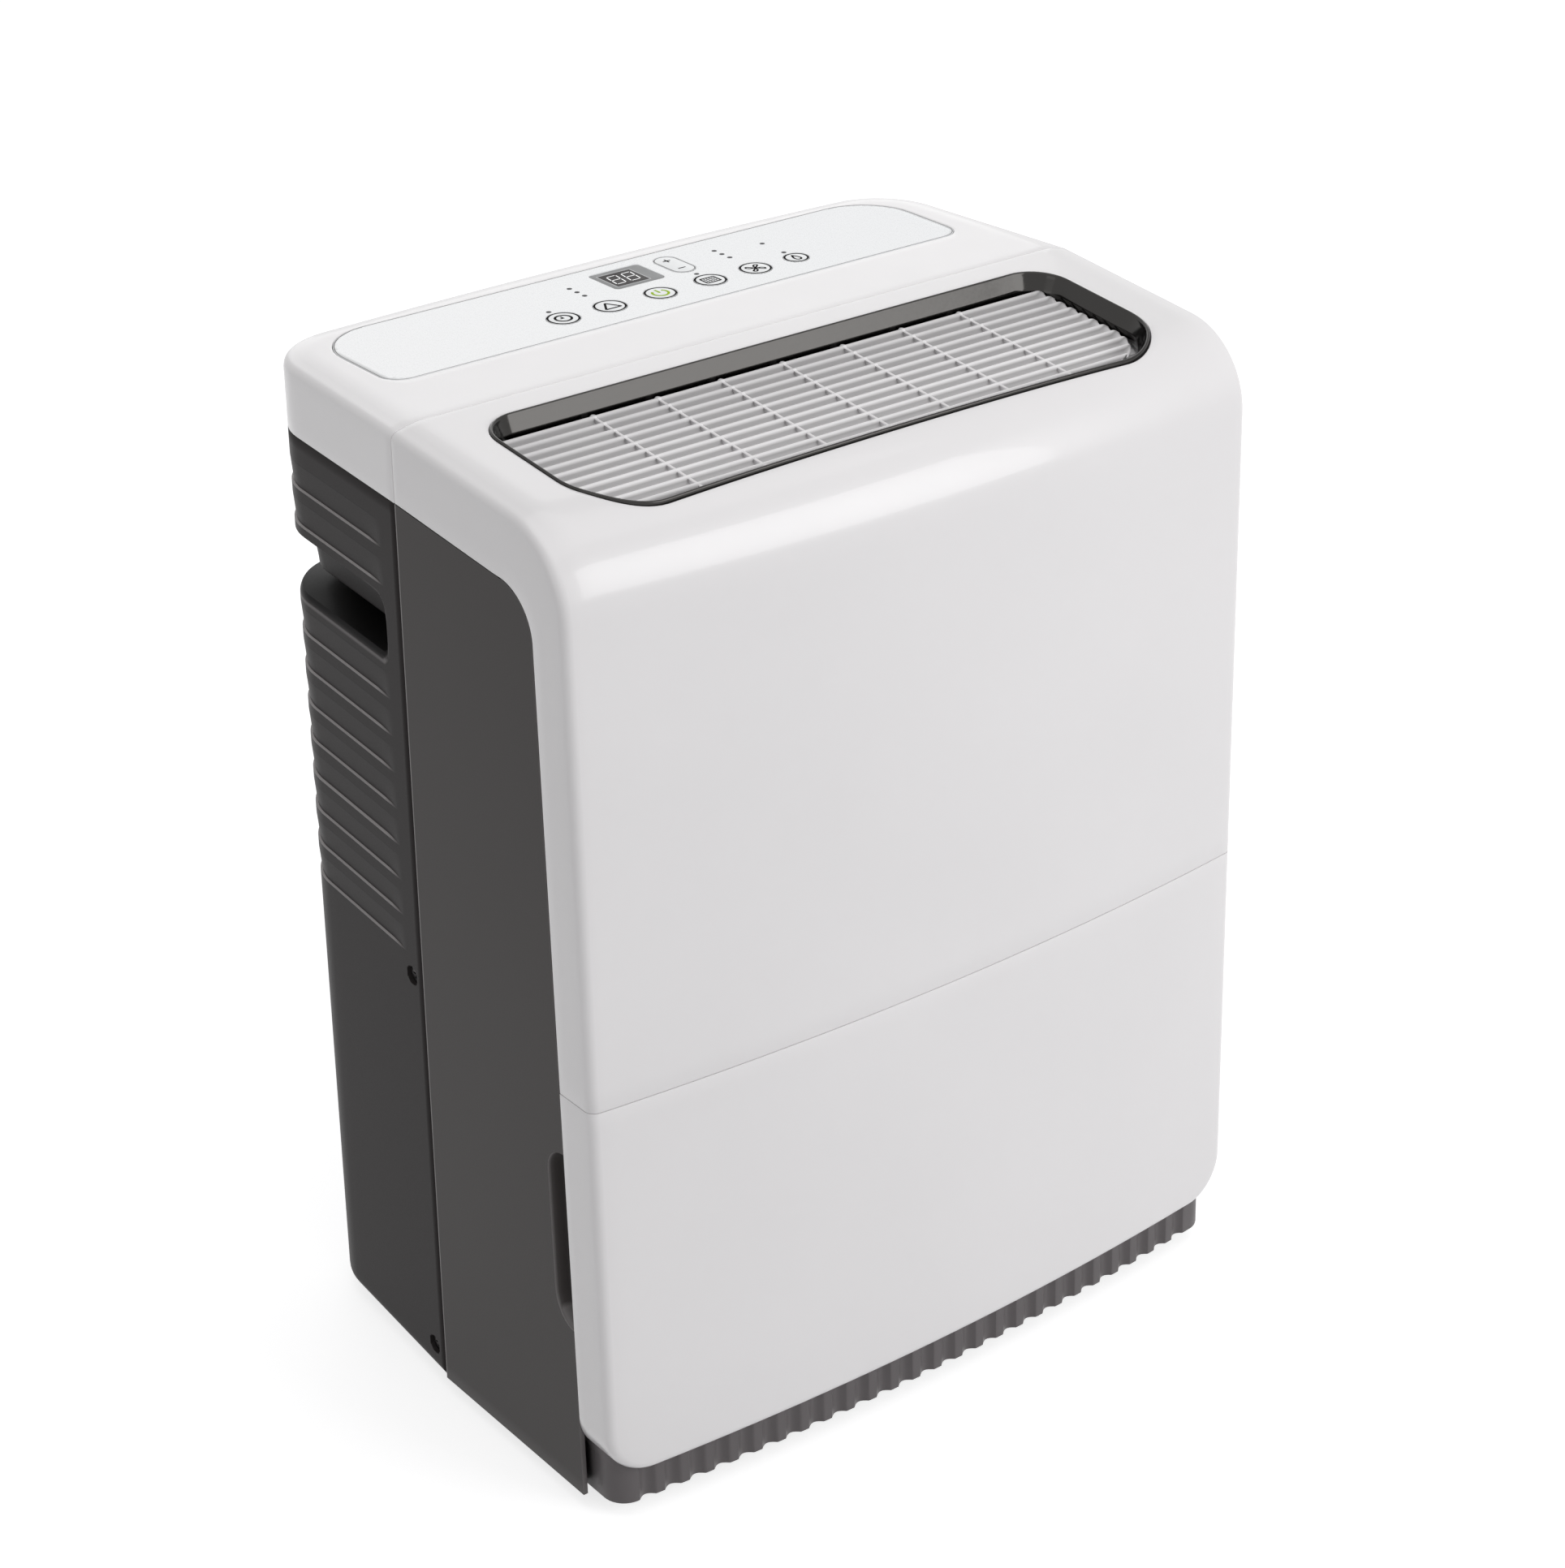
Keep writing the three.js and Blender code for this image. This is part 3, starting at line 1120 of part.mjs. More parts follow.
// Tray under the sheet: it guides the keys and carries the board.
function keyTray() {
  const low = TOP_Z - TRAY_H;
  const high = TOP_Z - SHEET_T - GAP;
  const xs = KEYS.map((k) => k.x);
  const x0 = Math.min(...xs) - 2 * PANEL_REAR_R * 0.52;
  const x1 = Math.max(...xs) + PANEL_REAR_R * 0.9;
  const y0 = PANEL_FRONT_Y + 7;
  const y1 = PANEL_REAR_Y - 6;
  const body = block(x0, x1, y0, y1, low, high);
  const under = block(x0 + 2, x1 - 2, y0 + 2, y1 - 2, low - 1, TOP_Z - KEY_H - KEY_TRAVEL - 2.2);
  const wellZ = TOP_Z - KEY_H - KEY_TRAVEL - 0.4;
  const wells = KEYS.map((k) => bored("z", k.r + GAP, wellZ, TOP_Z, k.x, k.y, 8));
  const throats = KEYS.map((k) => bored("z", KEY_STALK_R + GAP, low, TOP_Z, k.x, k.y, 6));
  const rocker = block(
    ROCKER_X - ROCKER_W / 2 - 2.4,
    ROCKER_X + ROCKER_W / 2 + 2.4,
    ROCKER_Y - 2.6,
    ROCKER_Y + 2.6,
    TOP_Z - KEY_H - 3,
    TOP_Z,
  );
  const rockerWell = prism("z", rockerOutline(-0.6), TOP_Z - KEY_H - 1.6, TOP_Z);
  const display = prism("z", displayOutline(-GAP), low - 2, TOP_Z);
  const columns = [...new Set(LAMPS.map((lamp) => lamp[0]))];
  const lampSlots = columns.map((x) => {
    const ys = LAMPS.filter((lamp) => lamp[0] === x).map((lamp) => lamp[1]);
    const r = LAMP_R + KEY_PLAY;
    return block(x - r, x + r, Math.min(...ys) - r, Math.max(...ys) + r, low - 2, TOP_Z);
  });
  return cut(body, [under, ...wells, ...throats, rocker, rockerWell, display, ...lampSlots]);
}

const BOARD_TOP = TOP_Z - TRAY_H + 6;

// Clear light guide: one plate above the board with a finger up to each indicator.
function lightGuide() {
  const z0 = BOARD_TOP + GAP;
  const z1 = TOP_Z - KEY_H - KEY_TRAVEL - 2.2 - GAP;
  const xs = LAMPS.map((lamp) => lamp[0]);
  const ys = LAMPS.map((lamp) => lamp[1]);
  const r = 2 * LAMP_R;
  const [x0, x1] = [Math.min(...xs) - r, Math.max(...xs) + r];
  const [y0, y1] = [Math.min(...ys) - r / 2, Math.max(...ys) + r];
  const plate = block(x0, x1, y0, y1, z0, z1);
  const gaps = [displayOutline(-1), rockerOutline(-1)].map((hole) => prism("z", hole, z0 - 1, z1 + 1));
  const fingers = LAMPS.map(([x, y]) => bar("z", LAMP_R, z0, TOP_Z - 0.1, x, y, LAMP_SIDES));
  return join([cut(plate, gaps), ...fingers]);
}

function keyBoard() {
  const xs = KEYS.map((k) => k.x);
  const x0 = Math.min(...xs) - PANEL_REAR_R * 0.9;
  const x1 = Math.max(...xs) + PANEL_REAR_R * 0.75;
  const board = block(x0, x1, PANEL_FRONT_Y + 11, PANEL_REAR_Y - 10, BOARD_TOP - 1.6, BOARD_TOP);
  const display = prism("z", displayOutline(1.5), BOARD_TOP - 0.2, TOP_Z - DISPLAY_H - GAP);
  return join([board, display]);
}

// ---------------------------------------------------------------- inside
function midFrame() {
  const half = HALF - WALL - SLOT_DEPTH;
  const wall = block(-half, half, PARTITION_Y, PARTITION_Y + WALL, DECK_Z + GAP, SHELF_Z);
  const shelf = block(-half, half, BASE_FRONT_Y, PARTITION_Y + WALL, SHELF_Z, SHELF_Z + SHELF_T);
  const coilHalf = COIL_W / 2 + 5;
  const yRear = EVAPORATOR_Y + COIL_T;
  const coilShelf = block(-coilHalf, coilHalf, PARTITION_Y, yRear, COIL_SHELF_Z - SHELF_T, COIL_SHELF_Z);
  const drain = bar("z", SUMP_R, SHELF_Z - 5, SHELF_Z + 10, SUMP_X, SUMP_Y, 14);
  return cut(join([wall, shelf, coilShelf]), [drain]);
}

// Side view of the fan housing across the width: a spiral that opens into a wide mouth.
function scrollOutline(inset) {
  const outline = [];
  const mouthZ = slopeAt(SCROLL_FRONT_Y) - BEZEL_DEPTH - BEZEL_FOOT - 9;
  const half = OUTLET_W / 2 - 14 - inset;
  const steps = 14;
  for (let i = 0; i <= steps; i++) {
    const t = i / steps;
    const a = THREE.MathUtils.degToRad(150 + 240 * t);
    const r = FAN_R + 8 + 22 * t - inset;
    outline.push([r * Math.cos(a), FAN_Z + r * Math.sin(a)]);
  }
  outline.push([half, mouthZ - 16]);
  outline.push([half, mouthZ + (inset > 0 ? 5 : 0)]);
  outline.push([-half, mouthZ + (inset > 0 ? 5 : 0)]);
  outline.push([-half, mouthZ - 16]);
  return outline;
}

function fanScroll() {
  const outer = prism("y", scrollOutline(0), SCROLL_FRONT_Y, SCROLL_REAR_Y);
  const [y0, y1] = [SCROLL_FRONT_Y + SCROLL_WALL, SCROLL_REAR_Y - SCROLL_WALL];
  const inner = prism("y", scrollOutline(SCROLL_WALL), y0, y1);
  const inlet = bar("y", FAN_R - 20, SCROLL_REAR_Y - 10, SCROLL_REAR_Y + 5, 0, FAN_Z, 18);
  const shaft = bar("y", SHAFT_R + 3, SCROLL_FRONT_Y - 5, SCROLL_FRONT_Y + 10, 0, FAN_Z, 12);
  const half = SCROLL_FOOT / 2;
  const footTop = FAN_Z - FAN_R;
  const foot = block(-half, half, SCROLL_FRONT_Y + 6, SCROLL_REAR_Y - 6, SHELF_Z + SHELF_T + GAP, footTop);
  const under = block(10 - half, half - 10, -CLEAR, CLEAR, SHELF_Z + SHELF_T + 5, footTop - 8);
  return cut(join([outer, foot.subtract(under)]), [inner, inlet, shaft]);
}

function fanWheel() {
  const y0 = SCROLL_FRONT_Y + SCROLL_WALL + 10;
  const back = bar("y", FAN_R, y0, y0 + 2, 0, FAN_Z, FAN_SIDES);
  const ring = bar("y", FAN_R, y0 + FAN_W - 3, y0 + FAN_W, 0, FAN_Z, FAN_SIDES).subtract(
    bar("y", FAN_R - 14, y0 + FAN_W - 10, y0 + FAN_W + 10, 0, FAN_Z, FAN_SIDES),
  );
  const hub = bar("y", 16, y0, y0 + 20, 0, FAN_Z, 12, 10);
  const blades = [];
  for (let i = 0; i < FAN_BLADES; i++) {
    const g = new THREE.BoxGeometry(1.6, FAN_W - 1, 15);
    g.rotateY(0.5).translate(0, y0 + FAN_W / 2, FAN_R - 7.6);
    g.rotateY((i / FAN_BLADES) * 2 * Math.PI).translate(0, 0, FAN_Z);
    blades.push(solid(g));
  }
  const bore = bored("y", SHAFT_R + RUNNING, y0 - 1, y0 + 14, 0, FAN_Z, SHAFT_SIDES);
  return cut(join([back, ring, hub, ...blades]), [bore]);
}

function motorShaft() {
  const y0 = SCROLL_FRONT_Y + SCROLL_WALL + 10;
  return bar("y", SHAFT_R, SCROLL_FRONT_Y - MOTOR_L + 6, y0 + 13, 0, FAN_Z, SHAFT_SIDES);
}

function fanMotor() {
  const y1 = SCROLL_FRONT_Y - GAP;
  const can = bar("y", MOTOR_R, y1 - MOTOR_L, y1 - 4, 0, FAN_Z, 16);
  const nose = bar("y", MOTOR_R * 0.55, y1 - 5, y1, 0, FAN_Z, 14);
  const lugs = [90, 210, 330].map((deg) => {
    const a = THREE.MathUtils.degToRad(deg);
    const g = new THREE.BoxGeometry(14, 4, 20);
    g.translate(0, y1 - 6, MOTOR_R + 4).rotateY(a).translate(0, 0, FAN_Z);
    return solid(g);
  });
  const posts = [90, 210, 330].map((deg) => {
    const a = THREE.MathUtils.degToRad(deg);
    return bar("y", 4, y1 - 7, y1, (MOTOR_R + 9) * Math.sin(a), FAN_Z + (MOTOR_R + 9) * Math.cos(a), 8);
  });
  const bore = bored("y", SHAFT_R + RUNNING, y1 - MOTOR_L + 5, y1 + 5, 0, FAN_Z, SHAFT_SIDES);
  return cut(join([can, nose, ...lugs, ...posts]), [bore]);
}

// A finned coil: a slab of fins between two end plates, with return bends at both ends.
function coil(yMid) {
  const half = COIL_W / 2;
  const slab = block(-half, half, yMid - COIL_T / 2, yMid + COIL_T / 2, COIL_LOW_Z, COIL_HIGH_Z);
  const slots = [];
  const pitch = COIL_W / FINS;
  for (let i = 0; i < FINS; i++) {
    const x = -half + pitch * (i + 0.5);
    const y0 = yMid + COIL_T / 2 - 2.5;
    slots.push(block(x - pitch * 0.3, x + pitch * 0.3, y0, y0 + 5, COIL_LOW_Z + 3, COIL_HIGH_Z - 3));
  }
  const bends = [];
  const rise = (COIL_HIGH_Z - COIL_LOW_Z) / PIPE_ROWS;
  for (let i = 0; i < PIPE_ROWS; i++) {
    const z = COIL_LOW_Z + rise * (i + 0.25);
    const side = i % 2 ? -1 : 1;
    const x = side * (half - 2);
    const out = side * (half + BEND_REACH);
    bends.push(
      tube(
        [
          [x, yMid, z],
          [out - side * 3, yMid, z + 1],
          [out, yMid, z + rise / 4],
          [out - side * 3, yMid, z + rise / 2 - 1],
          [x, yMid, z + rise / 2],
        ],
        PIPE_R,
        6,
        4,
      ),
    );
  }
  return join([cut(slab, slots), ...bends]);
}

function compressor() {
  const z0 = DECK_Z + GAP + COMPRESSOR_LIFT;
  const z1 = z0 + COMPRESSOR_H;
  const r = COMPRESSOR_R;
  const can = turned(
    [
      [0, z0],
      [r * 0.8, z0],
      [r, z0 + 12],
      [r, z1 - 26],
      [r * 0.86, z1 - 10],
      [r * 0.4, z1],
      [0, z1],
    ],
    COMPRESSOR_X,
    COMPRESSOR_Y,
    16,
  );
  const foot = turned(
    [
      [0, z0 - 2],
      [r + 6, z0 - 2],
      [r + 6, z0 + 2],
      [0, z0 + 2],
    ],
    COMPRESSOR_X,
    COMPRESSOR_Y,
    3,
  );
  const mounts = [90, 210, 330].map((deg) => {
    const a = THREE.MathUtils.degToRad(deg);
    const x = COMPRESSOR_X + (r - 6) * Math.sin(a);
    const y = COMPRESSOR_Y - (r - 6) * Math.cos(a);
    return bar("z", 7, DECK_Z + GAP, z0 + 1, x, y, 8);
  });
  return join([can, foot, ...mounts]);
}

// Suction line from the compressor's side up to the evaporator's end.
function suctionLine() {
  const z = DECK_Z + GAP + COMPRESSOR_LIFT + COMPRESSOR_H - SUCTION_DROP;
  const x = COMPRESSOR_X + COMPRESSOR_R + 3 * GAP;
  return tube(
    [
      [x, COMPRESSOR_Y, z],
      [x + (SUCTION_X - x) * 0.7, COMPRESSOR_Y, z + 1.5],
      [SUCTION_X, COMPRESSOR_Y, z + 9],
      [SUCTION_X, COMPRESSOR_Y, COIL_LOW_Z],
      [SUCTION_X, COMPRESSOR_Y, COIL_LOW_Z + 60],
    ],
    PIPE_R - 0.6,
    6,
    14,
  );
}

// Tray that catches the water of the evaporator and leads it to the bucket.
function dripTray() {
  const z0 = COIL_SHELF_Z + GAP;
  const half = COIL_W / 2 + 4;
  const y0 = CONDENSER_Y - COIL_T / 2 - 3;
  const y1 = EVAPORATOR_Y + COIL_T / 2 + 6;
  const z1 = COIL_LOW_Z + 3;
  const outer = block(-half, half, y0, y1, z0, z1);
  const inner = block(-half + 2, half - 2, y0 + 2, y1 - 2, z0 + TRAY_T, z1 + 5);
  return outer.subtract(inner);
}

// Sheet-metal box of the power electronics, open towards the deck.
function powerBox() {
  const z0 = DECK_Z + GAP;
  const x0 = -HALF + POWER_SIDE;
  const box = block(x0, x0 + POWER_W, POWER_Y, POWER_Y + POWER_L, z0, z0 + POWER_H);
  const room = block(x0 + 1, x0 + POWER_W - 1, POWER_Y + 1, POWER_Y + POWER_L - 1, z0 - 1, z0 + POWER_H - 1);
  return box.subtract(room);
}

function runCapacitor() {
  const z0 = DECK_Z + POWER_H + 2 * GAP;
  const x = -HALF + POWER_SIDE + POWER_W / 2;
  return bar("z", CAPACITOR_R, z0, z0 + CAPACITOR_H, x, POWER_Y + POWER_L / 3, 14);
}

function condensatePump() {
  const z0 = DECK_Z + GAP;
  const x0 = PUMP_X - PUMP_W / 2;
  const y0 = PUMP_Y - PUMP_L / 2;
  const base = block(x0, x0 + PUMP_W, y0, y0 + PUMP_L, z0, z0 + PUMP_H);
  const motor = bar("z", PUMP_MOTOR_R, z0 + PUMP_H - 1, z0 + PUMP_H + PUMP_MOTOR_H, PUMP_X, PUMP_Y, 14);
  return join([base, motor]);
}

// Hose stub of the pump through the back wall.
function pumpOutlet() {
  const back = seatAt(PUMP_PORT.x, PUMP_PORT.r + FLANGE);
  const flange = bar("y", PUMP_PORT.r + FLANGE, back, back + 2.5, PUMP_PORT.x, PUMP_PORT.z, PORT_SIDES);
  const stub = bar("y", PUMP_PORT.r, back - 12, back + 2.4, PUMP_PORT.x, PUMP_PORT.z, PORT_SIDES);
  const bore = bar("y", PUMP_PORT.r - 3, back - 20, back + 10, PUMP_PORT.x, PUMP_PORT.z, 12);
  return cut(join([flange, stub]), [bore]);
}

function drainSpigot() {
  const back = seatAt(DRAIN.x, DRAIN.r + FLANGE);
  const flange = bar("y", DRAIN.r + FLANGE, back, back + 2.5, DRAIN.x, DRAIN.z, PORT_SIDES);
  const stub = bar("y", DRAIN.r, back - 14, back + 2.4, DRAIN.x, DRAIN.z, PORT_SIDES);
  const bore = bar("y", DRAIN.r - 2.5, back - 20, back + 10, DRAIN.x, DRAIN.z, PORT_SIDES);
  return cut(join([flange, stub]), [bore]);
}

// Push-in plug of the drain outlet, with a pull tab.
function drainCap() {
  const back = seatAt(DRAIN.x, DRAIN.r + FLANGE);
  const plug = bar("y", DRAIN.r - 2.5 - GAP, back - 8, back + 3.5, DRAIN.x, DRAIN.z, PORT_SIDES);
  const head = bar("y", DRAIN.r + 2.5, back + 2.5 + GAP, back + 5, DRAIN.x, DRAIN.z, PORT_SIDES);
  const tab = block(DRAIN.x - 4, DRAIN.x + 4, back + 4, back + 5, DRAIN.z + DRAIN.r, DRAIN.z + DRAIN.r + 8);
  return join([plug, head, tab]);
}

function cordGland() {
  const back = seatAt(CORD_PORT.x, CORD_PORT.r + FLANGE);
  const flange = bar("y", CORD_PORT.r + FLANGE, back, back + 2.5, CORD_PORT.x, CORD_PORT.z, PORT_SIDES);
  const body = bar("y", CORD_PORT.r, back - 10, back + 2.4, CORD_PORT.x, CORD_PORT.z, PORT_SIDES);
  const bore = bar("y", 3.6, back - 20, back + 10, CORD_PORT.x, CORD_PORT.z, 12);
  return cut(join([flange, body]), [bore]);
}

function filterScreen() {
  const y1 = REAR_Y - REAR_CROWN - GRILLE_T - GAP;
  const half = INTAKE_W / 2 - 5 - GAP * 2;
  return block(-half, half, y1 - 1.4, y1, INTAKE_LOW_Z + 5 + GAP * 2, INTAKE_HIGH_Z - 5 - GAP * 2);
}

function sideScrew(side, z) {
  const face = side * (HALF - TAN_TAPER * (SCREW_Y - SEAM_Y) - SCREW_SINK);
  const inner = side * (HALF - SCREW_SINK - 3 + GAP);
  const head = bar("x", SCREW_R, Math.min(face, inner), Math.max(face, inner), SCREW_Y, z, SCREW_SIDES);
  const deep = face - side * 1.2;
  const proud = face + side;
  const slot = (dy, dz) =>
    block(Math.min(deep, proud), Math.max(deep, proud), SCREW_Y - dy, SCREW_Y + dy, z - dz, z + dz);
  return cut(head, [slot(2.4, 0.5), slot(0.5, 2.4)]);
}

// Float on its arm in the tub's rear corner, and the switch above that it lifts.
function floatArm() {
  const y = FLOAT_PIVOT_Y;
  const z = FLOAT_PIVOT_Z;
  const [x0, x1] = [FLOAT_X - FLOAT_PAD_W / 2, FLOAT_X + FLOAT_PAD_W / 2];
  const padRear = y - FLOAT_REACH;
  const padTop = z - 0.4 * FLOAT_ARM_H;
  const pad = block(x0, x1, padRear - FLOAT_PAD_L, padRear, padTop - FLOAT_PAD_H, padTop);
  const arm = block(
    FLOAT_X - FLOAT_EAR_X / 2,
    FLOAT_X + FLOAT_EAR_X / 2,
    padRear - FLOAT_PAD_L / 2 - 1,
    y + FLOAT_PIN_R + 1.5,
    z - 0.6 * FLOAT_ARM_H,
    z + 0.4 * FLOAT_ARM_H,
  );
  const pin = bar("x", FLOAT_PIN_R, FLOAT_X - FLOAT_EAR_X - 2, FLOAT_X + FLOAT_EAR_X + 2, y, z, 12);
  return join([pad, arm, pin]);
}

// Two ears on the tub's back wall that hold the float's pin.
function floatEars() {
  return [-1, 1].map((side) => {
    const x = FLOAT_X + side * (FLOAT_EAR_X + 1);
    const y0 = FLOAT_PIVOT_Y - 5;
    const ear = block(x - 1.2, x + 1.2, y0, TUB_REAR_Y - 1, FLOAT_PIVOT_Z - 6, FLOAT_PIVOT_Z + 6);
    return ear.subtract(bored("x", FLOAT_PIN_R + RUNNING, x - 5, x + 5, FLOAT_PIVOT_Y, FLOAT_PIVOT_Z, 12));
  });
}

function bucketSwitch() {
  const x0 = SWITCH_X - SWITCH_W / 2;
  const y0 = SWITCH_Y - SWITCH_L / 2;
  const z0 = SHELF_Z - SWITCH_H;
  const body = block(x0, x0 + SWITCH_W, y0, y0 + SWITCH_L, z0, SHELF_Z - GAP);
  const lever = block(x0 + 4, x0 + SWITCH_W - 4, y0 - 4, y0 + 1, z0, z0 + 1.4);
  return join([body, lever]);
}

// ---------------------------------------------------------------- the assembly
const root = new THREE.Group();

function piece(name, body, material, parent = root) {
  const geometry = body.isBufferGeometry ? body : geometryOf(body);
  const mesh = new THREE.Mesh(geometry, material);
  mesh.name = name;
  parent.add(mesh);
  return mesh;
}

piece("front_cover", frontCover(), WHITE);
piece("control_top", controlTop(), WHITE);
piece("side_panel_left", sidePanel(-1), DARK);
piece("side_panel_right", sidePanel(1), DARK);
piece("rear_housing", rearHousing(), DARK);
piece("outlet_bezel", outletBezel(), CHROME);
piece("outlet_grille", outletGrille(), BLADE_GREY);

piece("bucket_front", bucketFront(), WHITE);
piece("bucket_tub", bucketTub(), TUB_GREY);
piece("bucket_float", floatArm(), FOAM);
piece("bucket_switch", bucketSwitch(), BLACK);

piece("base_pan", basePan(), DARK);
for (const c of CASTERS) {
  const place = new THREE.Group();
  place.position.set(c.x, c.y, 0);
  root.add(place);
  piece("caster_fork_" + c.name, casterFork(), STEEL, place);
  piece("caster_wheel_" + c.name, casterWheel(), TYRE, place);
}

piece("panel_sheet", panelSheet(), SILVER);
piece("key_tray", keyTray(), BLACK);
piece("display_window", displayWindow(), SMOKED);
piece("light_guide", lightGuide(), LAMP);
piece("key_board", keyBoard(), PCB);
for (const k of KEYS) piece("key_" + k.name, key(k), SILVER);
piece("key_plus_minus", rockerKey(), SILVER);

piece("intake_grille", intakeGrille(), DARK);
piece("filter_screen", filterScreen(), BLACK);
piece("mid_frame", midFrame(), BLACK);
piece("fan_scroll", fanScroll(), BLACK);
piece("fan_wheel", fanWheel(), BLACK);
piece("fan_shaft", motorShaft(), STEEL);
piece("fan_motor", fanMotor(), STEEL);
piece("condenser_coil", coil(CONDENSER_Y), ALUMINIUM);
piece("evaporator_coil", coil(EVAPORATOR_Y), ALUMINIUM);
piece("drip_tray", dripTray(), BLACK);
piece("compressor", compressor(), BLACK);
piece("suction_line", suctionLine(), COPPER);
piece("power_box", powerBox(), STEEL);
piece("run_capacitor", runCapacitor(), STEEL);
piece("condensate_pump", condensatePump(), BLACK);
piece("pump_outlet", pumpOutlet(), BLACK);
piece("drain_spigot", drainSpigot(), BLACK);
piece("drain_cap", drainCap(), TYRE);
piece("cord_gland", cordGland(), BLACK);
piece("side_screw_left_low", sideScrew(-1, SCREW_LOW_Z), STEEL);
piece("side_screw_left_high", sideScrew(-1, SCREW_HIGH_Z), STEEL);
piece("side_screw_right_low", sideScrew(1, SCREW_LOW_Z), STEEL);
piece("side_screw_right_high", sideScrew(1, SCREW_HIGH_Z), STEEL);

export default root;
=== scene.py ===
"""Portable room dehumidifier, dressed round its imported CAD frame."""

import math

import bmesh
import bpy
import numpy as np
from mathutils import Matrix, Vector


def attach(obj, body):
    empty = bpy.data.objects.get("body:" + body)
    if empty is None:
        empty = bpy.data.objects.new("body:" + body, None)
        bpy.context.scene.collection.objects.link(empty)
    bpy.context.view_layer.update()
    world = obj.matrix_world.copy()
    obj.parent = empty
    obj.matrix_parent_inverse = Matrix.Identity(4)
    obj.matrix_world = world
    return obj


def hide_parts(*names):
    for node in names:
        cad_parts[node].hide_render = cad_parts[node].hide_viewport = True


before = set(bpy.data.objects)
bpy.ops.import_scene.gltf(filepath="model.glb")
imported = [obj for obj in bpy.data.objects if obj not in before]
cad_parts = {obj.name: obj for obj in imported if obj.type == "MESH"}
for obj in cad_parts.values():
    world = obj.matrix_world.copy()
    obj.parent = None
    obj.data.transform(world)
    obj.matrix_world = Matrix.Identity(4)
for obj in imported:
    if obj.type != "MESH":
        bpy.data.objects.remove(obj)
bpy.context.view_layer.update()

# ---------------------------------------------------------------- studio
# A pale sweep of floor and a white surround, with broad soft lamps, as a small product studio has.
# The floor glows to white only for the camera and for reflections, and still keeps the machine's shadow.
AZIMUTH, ELEVATION, ROLL = (math.radians(angle) for angle in (-38.085, 27.284, -0.331))
EYE_RIGHT, EYE_UP, EYE_BACK, AIM = -0.0498, 0.2704, 1.763, np.array([0, -0.090, 0.008])
SENSOR, LENS, NEAR, FAR = 36, 80.74, 0.05, 50
SURROUND_LIGHT, FLOOR_GLOW, FLOOR_HALF = 0.45, 0.72, 6


def added(name, data):
    """A new object of the scene, which holds the given data."""
    obj = bpy.data.objects.new(name, data)
    bpy.context.scene.collection.objects.link(obj)
    return obj


camera = added("camera", bpy.data.cameras.new("camera"))
level = math.cos(ELEVATION)
back = np.array([math.sin(AZIMUTH) * level, -math.cos(AZIMUTH) * level, math.sin(ELEVATION)])
right = np.array([math.cos(AZIMUTH), math.sin(AZIMUTH), 0.0])
up = np.cross(back, right)
rolled_right = right * math.cos(ROLL) + up * math.sin(ROLL)
rolled_up = up * math.cos(ROLL) - right * math.sin(ROLL)
view = np.eye(4)
view[:3, 3] = rolled_right * EYE_RIGHT + rolled_up * EYE_UP + back * EYE_BACK + AIM
view[:3, :3] = np.stack([rolled_right, rolled_up, back], 1)
camera.matrix_world = Matrix(view.tolist())
camera.data.sensor_width, camera.data.lens = SENSOR, LENS
camera.data.clip_start, camera.data.clip_end = NEAR, FAR
bpy.context.scene.camera = camera
bpy.context.scene.view_settings.view_transform = "Standard"


def operator(operation, swapped=False):
    """An operator of a socket, as one Math node."""
    if swapped:
        return lambda socket, other: socket.shading.maths(operation, other, socket)
    return lambda socket, *other: socket.shading.maths(operation, socket, *other)


class Socket:
    """An output of a shader node. Plain arithmetic on it adds Math nodes, so maths reads as written."""

    def __init__(self, shading, out):
        self.shading, self.out = shading, out

    __add__ = __radd__ = operator("ADD")
    __mul__ = __rmul__ = operator("MULTIPLY")
    __sub__, __rsub__ = operator("SUBTRACT"), operator("SUBTRACT", swapped=True)
    __truediv__, __abs__ = operator("DIVIDE"), operator("ABSOLUTE")
    __lt__, __gt__ = operator("LESS_THAN"), operator("GREATER_THAN")


